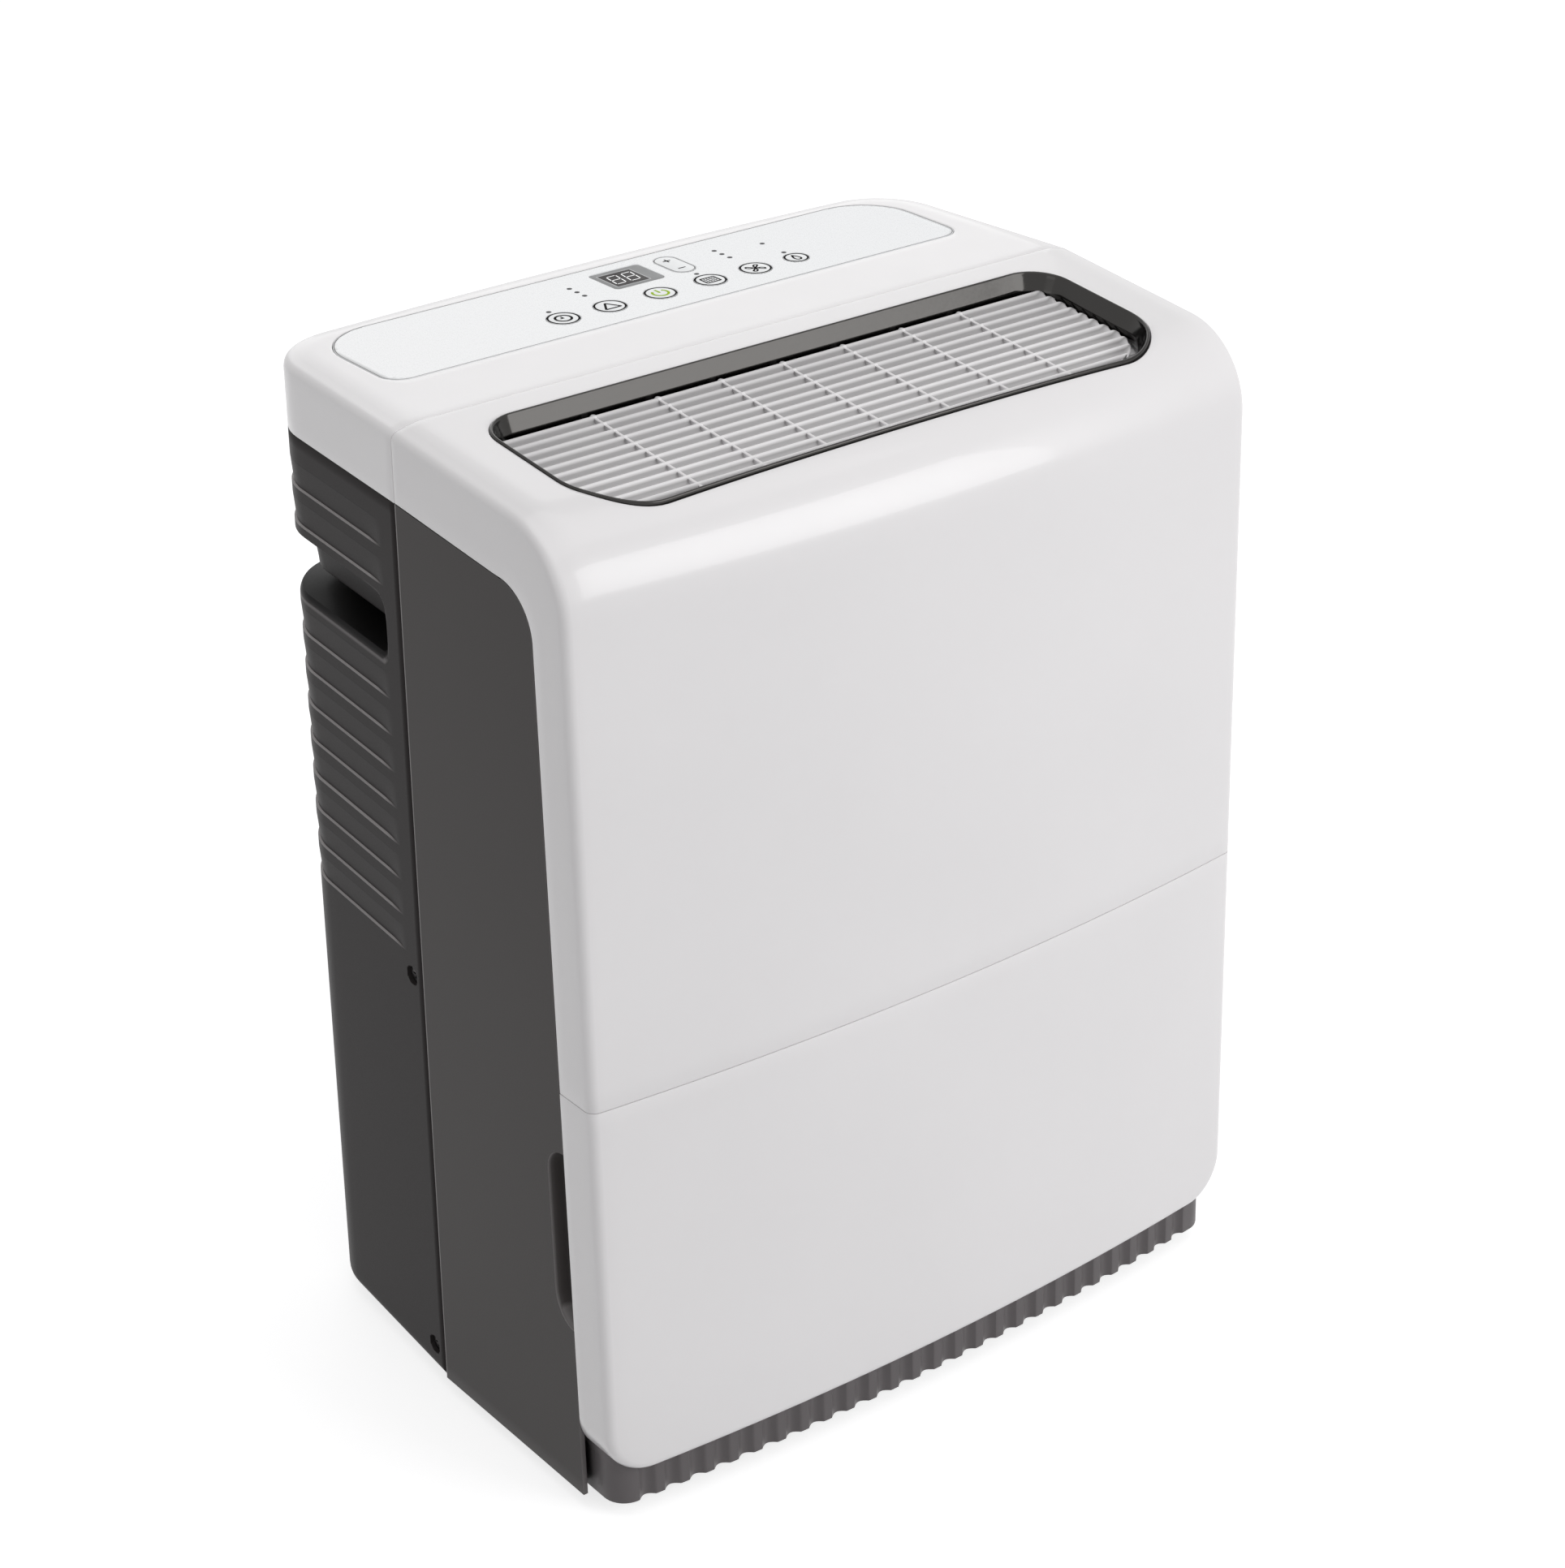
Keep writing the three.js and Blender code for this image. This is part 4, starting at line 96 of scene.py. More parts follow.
class Shading:
    """A node tree, of a material or of the world, and how nodes are added to it."""

    def __init__(self, owner):
        owner.use_nodes = True
        self.tree = owner.node_tree

    def node(self, kind, settings=None, sockets=None, output=0):
        """Any node: its settings are put in first, then a value or a link for each socket named."""
        made = self.tree.nodes.new(kind)
        for key, value in (settings or {}).items():
            if key == "stops":
                ramp = made.color_ramp.elements
                while len(ramp) < len(value):
                    ramp.new(0.5)
                for stop, (position, grey) in zip(ramp, value):
                    stop.position, stop.color = position, (grey, grey, grey, 1)
            else:
                setattr(made, key, value)
        for key, value in (sockets or {}).items():
            self.put(made, key, value)
        return Socket(self, made.outputs[output])

    def put(self, made, key, value):
        """A value, or a link from another node, for one socket of a node."""
        if isinstance(value, Socket):
            self.tree.links.new(value.out, made.inputs[key])
        else:
            made.inputs[key].default_value = value

    def maths(self, operation, *values):
        return self.node("ShaderNodeMath", {"operation": operation}, dict(enumerate(values)))

    def seen(self):
        """1 for camera, mirror and glass rays, 0 for the light that falls on things."""
        rays = ("Is Camera Ray", "Is Glossy Ray", "Is Transmission Ray")
        direct, mirrored, through = (self.node("ShaderNodeLightPath", output=ray) for ray in rays)
        return self.maths("MAXIMUM", self.maths("MAXIMUM", direct, mirrored), through)

    def place(self):
        return self.node("ShaderNodeTexCoord", output="Object")

    def along(self, *axes):
        """Places along the named axes of the object, in metres."""
        place = self.place()
        return [self.node("ShaderNodeSeparateXYZ", None, {0: place}, axis) for axis in axes]

    def noise(self, scale, detail=2.0):
        sockets = {"Vector": self.place(), "Scale": scale, "Detail": detail, "Roughness": 0.5}
        return self.node("ShaderNodeTexNoise", {"noise_dimensions": "3D"}, sockets)

    def mix(self, factor, first, second):
        """A colour between two colours."""
        return self.node("ShaderNodeMix", {"data_type": "RGBA"}, {"Factor": factor, 6: first, 7: second}, 2)

    def spread(self, value, low, high, to_low=0.0, to_high=1.0):
        """A value carried from one range to another, held at its ends."""
        names = {"Value": value, "From Min": low, "From Max": high, "To Min": to_low, "To Max": to_high}
        return self.node("ShaderNodeMapRange", {"clamp": True}, names)


class Finish(Shading):
    """One material: its node tree, and the Principled shader that it ends in."""

    def __init__(self, name, colour, roughness, constants=None):
        self.material = bpy.data.materials.new(name)
        super().__init__(self.material)
        self.shader = self.tree.nodes["Principled BSDF"]
        self.colour = linear(colour)
        fixed = {"Base Color": self.colour, "Roughness": roughness, **(constants or {})}
        for socket, value in fixed.items():
            self.feed(socket, value)

    def feed(self, socket, value):
        self.put(self.shader, socket, value)

    def tint(self, pattern, low, high, first, second, socket="Base Color"):
        """A colour that follows a pattern from one screen colour to another."""
        self.feed(socket, self.mix(self.spread(pattern, low, high), linear(first), linear(second)))

    def gloss(self, pattern, low, high, rough, rougher):
        """Roughness that follows a pattern from one value to another."""
        self.feed("Roughness", self.spread(pattern, low, high, rough, rougher))

    def bump(self, height, strength, depth):
        names = {"Height": height, "Strength": strength, "Distance": depth}
        self.feed("Normal", self.node("ShaderNodeBump", None, names))


def linear(colour):
    """A screen colour of 0 to 255 as linear light: the sRGB curve undone."""
    c = np.asarray(colour, float) / 255
    out = np.where(c <= 0.04045, c / 12.92, ((c + 0.055) / 1.055) ** 2.4)
    return (*out.tolist(), 1.0)


world = bpy.data.worlds.new("white surround")
bpy.context.scene.world = world
sky = Shading(world)
surround = world.node_tree.nodes["Background"]
sky.put(surround, "Color", (1, 1, 1, 1))
sky.put(surround, "Strength", sky.spread(sky.seen(), 0, 1, SURROUND_LIGHT, 1.0))


def lamp(name, place, aim_height, size, power):
    """A square soft lamp that points from its place at a height on the machine's middle line."""
    light = added(name, bpy.data.lights.new(name, "AREA"))
    light.data.size, light.data.energy = size, power
    light.location = place
    direction = Vector((0, 0, aim_height)) - Vector(place)
    light.rotation_euler = direction.to_track_quat("-Z", "Y").to_euler()


lamp("overhead lamp", (0.1, -0.2, 2.2), 0.4, 1.8, 7)
lamp("front lamp", (1.0, -2.0, 1.2), 0.25, 1.4, 21.5)
lamp("side lamp", (-2.4, -0.5, 1.0), 0.25, 1.2, 2.3)
lamp("back lamp", (1.1, 2.0, 1.3), 0.4, 1.6, 5)

floor_mesh = bpy.data.meshes.new("floor")
floor_corners = [(x * FLOOR_HALF, y * FLOOR_HALF, 0) for x, y in ((-1, -1), (1, -1), (1, 1), (-1, 1))]
floor_mesh.from_pydata(floor_corners, [], [(0, 1, 2, 3)])
floor = added("floor", floor_mesh)
paint = Finish("floor paint", (205, 205, 206), 0.9, {"Specular IOR Level": 0.1})
glow_level = paint.seen() * FLOOR_GLOW
glow = paint.node("ShaderNodeEmission", None, {"Color": (1, 1, 1, 1), "Strength": glow_level})
both = paint.node("ShaderNodeAddShader", None, {0: Socket(paint, paint.shader.outputs[0]), 1: glow})
paint.put(paint.tree.nodes["Material Output"], "Surface", both)
floor.data.materials.append(paint.material)

# ---------------------------------------------------------------- shared shapes
# A piece is drawn as grids of points in mm. These helpers place the points, carry sections along
# lines, and turn the grids into one welded mesh with its finish, its body and its slot.
WELD = 0.004    # points this near each other are one
MIRROR = np.array([-1.0, 1.0, 1.0])


def grid(*axes):
    """Points from their coordinates, given one axis at a time."""
    return np.stack(np.broadcast_arrays(*axes), -1)


def raised(plan, z):
    """Points of a plan (x, y) at heights that are given for all of it or row by row."""
    return grid(plan[..., 0], plan[..., 1], z)


def quarter(count):
    """Even angles over a quarter turn."""
    return np.linspace(0, np.pi / 2, count)


BEND = 1 - np.cos(quarter(6))    # how far in a rounding of radius 1 lies at each of its six stations


def circle(cx, cy, r, a):
    """Points of a circle at some angles."""
    return grid(cx + r * np.cos(a), cy + r * np.sin(a))


def eased(value, low, high):
    """0 below low, 1 above high, and a smooth cubic between."""
    v = np.clip((value - low) / (high - low), 0, 1)
    return v * v * (3 - 2 * v)


def legs(s):
    """How far a station has come on each of the three legs of a path: 0 to 1, 1 to 2 and 2 to 3."""
    return [np.clip(s - start, 0, 1) for start in range(3)]


def unfolded(t):
    """Side of the machine, and station on its three legs, of a station that runs 0 to 6 round both."""
    return np.where(t > 3, -1.0, 1.0), np.where(t > 3, 6 - t, t)


def steps(bounds, *counts):
    """Even stations from each bound to the next, so many on each stretch with both of its ends."""
    stretches = [np.linspace(*ends, count) for *ends, count in zip(bounds, bounds[1:], counts)]
    return np.unique(np.concatenate(stretches))


def stations(*counts):
    """Stations 0 to 6: so many on each of three legs, and the same again mirrored."""
    there = steps(range(4), *counts)
    return np.append(there, 6 - there[-2::-1])


def rounded_box(x, y, box, r_low, r_high):
    """Signed distance to a rectangle (x0, x1, y0, y1) with one radius low and one radius high."""
    x0, x1, y0, y1 = box
    r = np.where(y > (y0 + y1) / 2, r_high, r_low)
    qx = np.abs(x - (x0 + x1) / 2) - (x1 - x0) / 2 + r
    qy = np.abs(y - (y0 + y1) / 2) - (y1 - y0) / 2 + r
    return np.hypot(np.maximum(qx, 0), np.maximum(qy, 0)) + np.minimum(np.maximum(qx, qy), 0) - r


def on_outline(x, y, box, r_low, r_high, grow):
    """Where the line from the rectangle's spine out to each point crosses its outline, by halving."""
    x0, x1, y0, y1 = box
    reach = (x1 - x0) / 2 - (y1 - y0) / 2
    sx = np.clip(x, (x0 + x1) / 2 - reach, (x0 + x1) / 2 + reach)
    sy = np.full_like(y, (y0 + y1) / 2)
    low, high = np.zeros_like(x), np.full_like(x, 1.5)
    for _ in range(40):
        mid = (low + high) / 2
        outside = rounded_box(sx + (x - sx) * mid, sy + (y - sy) * mid, box, r_low, r_high) > grow
        low, high = np.where(outside, low, mid), np.where(outside, mid, high)
    return grid(sx + (x - sx) * low, sy + (y - sy) * low)


def outline(box, r_low, r_high, inset, arc=10, straight=2):
    """Closed outline of such a rectangle at an inset: four quarter circles and the straight runs between."""
    x0, x1, y0, y1 = box
    inset = np.asarray(inset, float)[..., None]
    arcs = []
    for cx, cy, r, start in ((x1 - r_low, y0 + r_low, r_low, -90), (x1 - r_high, y1 - r_high, r_high, 0),
                             (x0 + r_high, y1 - r_high, r_high, 90), (x0 + r_low, y0 + r_low, r_low, 180)):
        a = np.radians(start + np.linspace(0, 90, arc))
        arcs.append(circle(cx, cy, r - inset, a))
    t = np.linspace(0, 1, straight)[1:-1, None]
    runs = []
    for part, ahead in zip(arcs, arcs[1:] + arcs[:1]):
        runs += [part, part[..., -1:, :] * (1 - t) + ahead[..., :1, :] * t]
    return np.concatenate([*runs, arcs[0][..., :1, :]], -2)


def ring_to_hole(rim, hole, rows):
    """Rows of points that pass straight from a rim to the outline of a hole."""
    t = np.linspace(0, 1, rows)[:, None, None]
    return rim[None] * (1 - t) + hole[None] * t


def carried(section, middle, places):
    """A closed section carried along a line of places and gathered to its middle at both ends."""
    size = np.ones((len(places), 1))
    size[[0, -1]] = 0
    u, v = (m + (axis - m) * size for m, axis in zip(middle, np.array(section).T))
    return u, v, np.array(places)[:, None]


def turned(profile, centre, axis="z", sides=64):
    """A profile of (radius, height) swept once round an axis through a centre."""
    r, h = np.asarray(profile, float).T[:, :, None]
    a = np.linspace(0, 2 * np.pi, sides + 1)
    u, v = r * np.cos(a), r * np.sin(a)
    return grid(*((h, u, v) if axis == "x" else (u, v, h))) + np.asarray(centre, float)


def punched(u, v, room):
    """A grid of places with holes. A cell whose middle has no room goes, and the corners that it
    shared with a cell that stays move down the slope of the room, onto the outline."""
    middle = lambda a: (a[:-1, :-1] + a[1:, :-1] + a[:-1, 1:] + a[1:, 1:]) / 4
    gone = room(middle(u), middle(v)) < 0
    pads = [((1 - i, i), (1 - j, j)) for i in (0, 1) for j in (0, 1)]
    beside = lambda cells: np.maximum.reduce([np.pad(cells, pad) for pad in pads])
    border = beside(gone) & beside(~gone)
    here, h = room(u, v), 0.01
    slope_u, slope_v = (room(u + h, v) - here) / h, (room(u, v + h) - here) / h
    return np.where(border, u - here * slope_u, u), np.where(border, v - here * slope_v, v), gone


def welded(name, patches, tone):
    """One mesh from grids of points in mm, each with the cells that it lacks, if any. A cell is a quad,
    points that coincide are welded, and a quad with two welded corners becomes a triangle."""
    points, quads, start = [], [], 0
    for patch in patches:
        rows, gone = patch if isinstance(patch, tuple) else (patch, False)
        index = start + np.arange(rows[..., 0].size).reshape(rows.shape[:2])
        cells = np.stack([index[:-1, :-1], index[1:, :-1], index[1:, 1:], index[:-1, 1:]], -1)
        quads.append(cells[~np.broadcast_to(gone, cells.shape[:2])])
        points.append(rows.reshape(-1, 3))
        start += index.size
    points, quads = np.concatenate(points), np.concatenate(quads)
    keys = np.round(points / WELD).astype(np.int64)
    _, first, back_to = np.unique(keys, axis=0, return_index=True, return_inverse=True)
    points, quads = points[first] / 1000, back_to.reshape(-1)[quads]
    twin = quads == np.roll(quads, -1, axis=1)
    single = twin.sum(1) == 1
    triangles = quads[single][~twin[single]].reshape(-1, 3)
    mesh = bpy.data.meshes.new(name)
    mesh.from_pydata(points.tolist(), [], quads[~twin.any(1)].tolist() + triangles.tolist())
    mesh.validate()
    made = bmesh.new()
    made.from_mesh(mesh)
    bmesh.ops.recalc_face_normals(made, faces=made.faces)
    for centre in (Vector(points.mean(0)), Vector((0, 0, 0.25))):
        outward = sum((f.calc_center_median() - centre).dot(f.normal) * f.calc_area() for f in made.faces)
        if abs(outward) > 1e-9:
            break
    if outward < 0:
        bmesh.ops.reverse_faces(made, faces=made.faces)
    made.to_mesh(mesh)
    made.free()
    if tone is not None:
        values = np.concatenate([part.ravel() for part in tone])[first]
        mesh.attributes.new("tone", "FLOAT", "POINT").data.foreach_set("value", values)
    return mesh


def piece(name, patches, finish, body, replaced=(), thick=0.0, bevel=0.0, sharp=35, tone=None):
    """An object of welded grids, with its material, its body and the nodes that it stands for. Solidify
    gives it a wall inwards, and tone carries a value for each point to its finish: painted highlight above
    0, painted shade below 0."""
    mesh = welded(name, patches, tone)
    mesh.shade_smooth()
    mesh.set_sharp_from_angle(angle=math.radians(sharp))
    mesh.materials.append(finish.material)
    obj = added(name, mesh)
    if thick:
        wall = obj.modifiers.new("wall", "SOLIDIFY")
        wall.thickness, wall.offset = thick / 1000, -1
    if bevel:
        edge = obj.modifiers.new("edge", "BEVEL")
        edge.width, edge.segments, edge.limit_method = bevel / 1000, 2, "ANGLE"
        edge.angle_limit, edge.harden_normals = math.radians(50), False
    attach(obj, body)
    if replaced:
        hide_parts(*replaced)


def dress(node, finish):
    """A solid of the frame keeps its mesh and takes a finish in each of its material slots."""
    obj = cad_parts[node]
    for number in range(max(1, len(obj.material_slots))):
        if obj.material_slots:
            obj.material_slots[number].material = finish.material
        else:
            obj.data.materials.append(finish.material)


# ---------------------------------------------------------------- finishes
# The families of surface that the parts share: moulded plastics, plain or with painted highlights and
# painted shade, and bare or painted metal. Each has a fine break in its gloss; plastics and paints have a
# slow cloud of tone.


def moulded(name, colour, roughness, grain=0.0, shade=0.012, coat=0.0, gloss=0.5):
    """Moulded plastic: a faint cloud in its tone and gloss, and a grain of a given depth in mm."""
    constants = {"Coat Weight": coat, "Coat Roughness": 0.06, "Specular IOR Level": gloss}
    finish = Finish(name, colour, roughness, constants)
    cloud = finish.spread(finish.noise(9.0, 3.0), 0.3, 0.7)
    low, high = ((*(c * (1 + k * shade) for c in finish.colour[:3]), 1.0) for k in (-1, 1))
    finish.base = finish.mix(cloud, low, high)
    finish.feed("Base Color", finish.base)
    fine = finish.noise(1400.0 if grain else 70.0)
    finish.gloss(fine, 0.25, 0.75, roughness * 0.92, roughness * 1.08)
    if grain:
        finish.bump(fine, 0.35, grain / 1000)
    return finish


def moulded_with_painted_light(name, colour, gloss=0.22):
    """Dark moulding painted by each point's tone: a painted highlight towards pale grey where it is above 0,
    and painted shade down to black where it is below 0.
    """
    finish = moulded(name, colour, 0.42, grain=0.008, shade=0.03, gloss=gloss)
    tone = finish.node("ShaderNodeAttribute", {"attribute_name": "tone"}, output="Fac")
    # Painted highlight towards a pale grey where the tone is above 0; painted shade towards black where it
    # is below 0.
    highlighted = finish.mix(finish.maths("MAXIMUM", tone, 0.0), finish.base, linear((178, 174, 174)))
    shaded = 0.0 - finish.maths("MINIMUM", tone, 0.0)
    finish.feed("Base Color", finish.mix(shaded, highlighted, linear((9, 8, 8))))
    return finish


def metal(name, colour, roughness, rough, rougher, scale, detail=3.0, depth=0.0):
    """Bare metal: gloss that wanders between two values, with the same pattern as a bump if it has depth."""
    finish = Finish(name, colour, roughness, {"Metallic": 1.0})
    brushed = finish.noise(scale, detail)
    finish.gloss(brushed, 0.3, 0.7, rough, rougher)
    if depth:
        finish.bump(brushed, 0.15, depth / 1000)
    return finish


def enamelled(name, colour, roughness, metallic=0.0):
    """Painted or bare sheet metal: slow cloudiness in the colour and fine streaks in the gloss."""
    finish = Finish(name, colour, roughness, {"Metallic": metallic})
    finish.tint(finish.noise(18.0, 3.0), 0.35, 0.65, np.array(colour) * 0.86, colour)
    finish.gloss(finish.noise(420.0, 3.0), 0.3, 0.7, roughness * 0.8, roughness * 1.2)
    return finish


def finned(name, colour, pitch):
    """Aluminium fins: fine upright lines, a bump from a wave along x."""
    finish = metal(name, colour, 0.38, 0.3, 0.5, 90.0)
    across_fins = {"Vector": finish.place(), "Scale": 1000 / pitch / 20}
    finish.bump(finish.node("ShaderNodeTexWave", {"bands_direction": "X"}, across_fins, 1), 0.6, 0.0003)
    return finish


white = moulded("white shell", (238, 236, 237), 0.3, coat=0.35)
black = moulded("black fitting", (34, 34, 36), 0.42, grain=0.006)
steel = metal("pressed steel", (176, 176, 174), 0.32, 0.24, 0.42, 900.0, depth=0.01)

# ---------------------------------------------------------------- front cover
# The upper white shell: one ABS moulding that runs up the bowed front, over a big radius and back
# along the sloping top to the seam, with a narrow return down each side ahead of the dark panels.
HALF, SIDE_TOP, SEAM, EDGE, WALL, GAP = 195.0, 504.0, 9.0, 4.5, 3.0, 0.3
FRONT, LEAN, CROWN = -115.0, 16.0 / 496.0, 11.0
SLOPE, TOP_R, RISE, RISE_RUN = math.radians(5.4), 41.0, 2.0, 12.0
FRONT_ANGLE, TOP_ANGLE = math.atan2(LEAN, -1.0), math.pi / 2 + SLOPE
BAND_H, BAND_W, BAND_R = 33.0, 24.0, 24.0
BUCKET_TOP, BUCKET_LOW, BUCKET_R = 226.0, 28.0, 24.0
OUTLET, OUTLET_R = (-163.5, 163.5, -103.0, -6.0), (34.0, 20.0)
COVER_BACK, TOP = SEAM - GAP / 2, SIDE_TOP + RISE
HOLE_STEP, COLUMNS = 1.62, 91


def front_y(x, z):
    """Front face: a plane that leans forward to the foot, less a parabola across the width."""
    return FRONT - LEAN * (SIDE_TOP - z) - CROWN * (1 - (x / HALF) ** 2)


def band_y(z):
    """Rear edge of the white side return, parallel to the leaning front edge."""
    return FRONT + BAND_W - LEAN * (SIDE_TOP - z)


def band_z(y):
    """Lower edge of the white band beside the top, parallel to the sloping top."""
    return SIDE_TOP - math.tan(SLOPE) * (SEAM - y) - BAND_H


def corner(x, inset, rise):
    """Circle that touches the leaning front line and the sloping top line, both drawn in by inset: where
    the front line is at the top, where the top line is at the seam, the circle's centre and its radius."""
    y0 = front_y(x, SIDE_TOP) + inset * math.hypot(1, LEAN)
    z0 = SIDE_TOP + rise - inset / math.cos(SLOPE)
    r = TOP_R - inset
    n1 = np.array([1, -LEAN]) / math.hypot(1, LEAN)
    n2 = np.array([math.sin(SLOPE), -math.cos(SLOPE)])
    d1 = n1[0] * y0 + n1[1] * SIDE_TOP + r
    d2 = n2[0] * SEAM + n2[1] * z0 + r
    det = n1[0] * n2[1] - n1[1] * n2[0]
    return y0, z0, (d1 * n2[1] - d2 * n1[1]) / det, (n1[0] * d2 - n2[0] * d1) / det, r


def front_form(x, s, inset=0.0, rise=RISE):
    """A point of the front form at width x. s runs 0 to 1 from the seam along the sloping top, 1 to 2
    round the corner circle, and 2 to 3 straight down the leaning front to the joint."""
    x, s, inset, rise = np.broadcast_arrays(x, s, inset, rise)
    y0, z0, cy, cz, r = corner(x, inset, rise)
    top_y, low_z = cy + r * math.cos(TOP_ANGLE), cz + r * math.sin(FRONT_ANGLE)
    back_along, turn, down = legs(s)
    a = TOP_ANGLE + (FRONT_ANGLE - TOP_ANGLE) * turn
    y = np.where(s < 1, COVER_BACK + (top_y - COVER_BACK) * back_along, cy + r * np.cos(a))
    z = np.where(s < 1, z0 - math.tan(SLOPE) * (SEAM - y), cz + r * np.sin(a))
    z = np.where(s > 2, low_z + (BUCKET_TOP - low_z) * down, z)
    return grid(x, np.where(s > 2, y0 - LEAN * (SIDE_TOP - z), y), z)


def form_step(x, y):
    """The s at which the front form has a given y, on its top or its corner: front_form turned round."""
    _, _, cy, _, r = corner(x, 0.0, RISE)
    top_y = cy + r * math.cos(TOP_ANGLE)
    a = np.arccos(np.clip((y - cy) / r, -1, 1))
    on_corner = 1 + (a - TOP_ANGLE) / (FRONT_ANGLE - TOP_ANGLE)
    return np.where(y > top_y, (y - COVER_BACK) / (top_y - COVER_BACK), on_corner)


def edge_stations():
    """Stations in from a side edge: a quarter circle, then a parabola up to the full height."""
    t = np.linspace(0, 1, 5)[1:]
    inwards, down = np.append(EDGE * BEND, EDGE + RISE_RUN * t), np.append(EDGE * BEND[::-1], 0 * t)
    return inwards, down, np.append(0 * BEND, RISE * (1 - (1 - t) ** 2))


def side_return(s):
    """Flat side return: from the end of the edge rounding straight in to the edge of the dark panel."""
    cz = BAND_Z + GAP
    cy = band_y(cz) - GAP + BAND_R
    back_along, turn, down = legs(s)
    a = np.pi / 2 * (1 + turn)
    y = COVER_BACK + (cy - COVER_BACK) * back_along
    z = np.where(s < 1, band_z(y) + GAP, cz + BAND_R * np.sin(a))
    z = np.where(s > 2, cz + (BUCKET_TOP - cz) * down, z)
    y = np.where(s > 2, band_y(z) - GAP, np.where(s < 1, y, cy + BAND_R * np.cos(a)))
    return ring_to_hole(front_form(HALF, s, EDGE, 0.0), grid(HALF, y, z), 4)


def white_piece(node, patches, body):
    """One of the three white mouldings, which share their wall, their eased edges and their finish."""
    piece(f"{node}_shell", patches, white, body, [node], thick=WALL, bevel=0.35)


BAND_Z = band_z(band_y(SIDE_TOP - BAND_H) + BAND_R) - BAND_R
run, drop, rise = edge_stations()
inner_x = HALF - run[-1]
top_steps, low_steps = steps((0, 1, HOLE_STEP), 27, 12), steps((HOLE_STEP, 2, 3), 8, 22)
all_steps, side_steps = np.append(top_steps, low_steps[1:]), top_steps[1:-1]
columns, side_x = np.linspace(-inner_x, inner_x, COLUMNS), np.full(len(side_steps), inner_x)
rim_x = np.concatenate([columns, side_x, columns[::-1], -side_x, columns[:1]])
rim_s = np.concatenate([np.zeros(COLUMNS), side_steps, np.full(COLUMNS, HOLE_STEP), side_steps[::-1], [0]])
outlet_hole = on_outline(rim_x, front_form(rim_x, rim_s)[:, 1], OUTLET, *OUTLET_R, GAP)
hole_s = form_step(outlet_hole[:, 0], outlet_hole[:, 1])
top_ring = ring_to_hole(grid(rim_x, rim_s), grid(outlet_hole[:, 0], hole_s), 9)
top = front_form(top_ring[..., 0], top_ring[..., 1])
face = front_form(columns[None], low_steps[:, None])
strip = front_form(HALF - run[:, None], all_steps[None], drop[:, None], rise[:, None])
side = side_return(all_steps)
cover_patches = [top, face, strip, strip * MIRROR, side, side * MIRROR]
white_piece("front_cover", cover_patches, "cabinet")

# ---------------------------------------------------------------- control top
# The rear half of the white top, one moulding clipped to the rear housing. Its wall follows the
# tapered sides and the bowed back, rolls over into the flat top, and is cut out for the key sheet.
REAR, REAR_CROWN, REAR_R, TAPER = 141.0, 4.0, 38.0, math.radians(4.7)
TOP_BACK = SEAM + GAP / 2
CORNER_Y = REAR - REAR_CROWN - REAR_R
CORNER_X = HALF - math.tan(TAPER) * (CORNER_Y - SEAM) - REAR_R / math.cos(TAPER)
PANEL, PANEL_R = (-165.5, 165.5, 53.5, 124.0), (11.0, 30.0)


def rear_plan(t, inset):
    """Plan line of the rear form, drawn in by inset. t runs 0 to 1 back along the right side, to 2 round
    the corner circle, to 3 along the parabola of the back wall, and the same again mirrored to 6."""
    t, inset = np.broadcast_arrays(t, inset)
    side, t = unfolded(t)
    back_along, turn, _ = legs(t)
    r, a = REAR_R - inset, TAPER + (math.pi / 2 - TAPER) * turn
    side_end = CORNER_Y + r * math.sin(TAPER)
    y = np.where(t < 1, TOP_BACK + (side_end - TOP_BACK) * back_along, CORNER_Y + r * np.sin(a))
    side_x = HALF - inset / math.cos(TAPER) - math.tan(TAPER) * (y - SEAM)
    x = np.where(t < 1, side_x, CORNER_X + r * np.cos(a))
    bowed = REAR - REAR_CROWN - inset + REAR_CROWN * (1 - (3 - t) ** 2)
    return side * np.where(t > 2, CORNER_X * (3 - t), x), np.where(t > 2, bowed, y)


def top_height(x, y):
    """Height of the rear top: level, less a parabola over the last few mm before its rounded edge."""
    x = np.abs(x)
    from_side = (HALF - math.tan(TAPER) * (y - SEAM) - x) * math.cos(TAPER)
    from_back = REAR - REAR_CROWN * np.minimum(x / CORNER_X, 1) ** 2 - y
    from_corner = REAR_R - np.hypot(x - CORNER_X, y - CORNER_Y)
    inset = np.where((x > CORNER_X) & (y > CORNER_Y), from_corner, np.minimum(from_side, from_back))
    return SIDE_TOP + RISE * (1 - (1 - np.clip((inset - EDGE) / RISE_RUN, 0, 1)) ** 2)


keep = run <= EDGE + 0.6 * RISE_RUN
upright_z = np.linspace(SIDE_TOP - BAND_H + GAP / 2, SIDE_TOP - EDGE, 6)[:-1]
wall_z = np.append(upright_z, (SIDE_TOP - drop + rise)[keep])[:, None]
wall_in = np.append(0 * upright_z, run[keep])[:, None]
wall = grid(*rear_plan(stations(16, 15, 26)[None], wall_in), wall_z)
wall_rim = wall[-1, :, :2]
seam_line = grid(np.linspace(wall_rim[-1, 0], wall_rim[0, 0], 60), TOP_BACK)
deck_rim = np.concatenate([wall_rim, seam_line[1:]])
deck_plan = ring_to_hole(deck_rim, on_outline(deck_rim[:, 0], deck_rim[:, 1], PANEL, *PANEL_R, GAP), 10)
deck = raised(deck_plan, top_height(deck_plan[..., 0], deck_plan[..., 1]))
deck[0, : wall.shape[1], 2] = wall[-1, :, 2]
white_piece("control_top", [wall, deck], "cabinet")

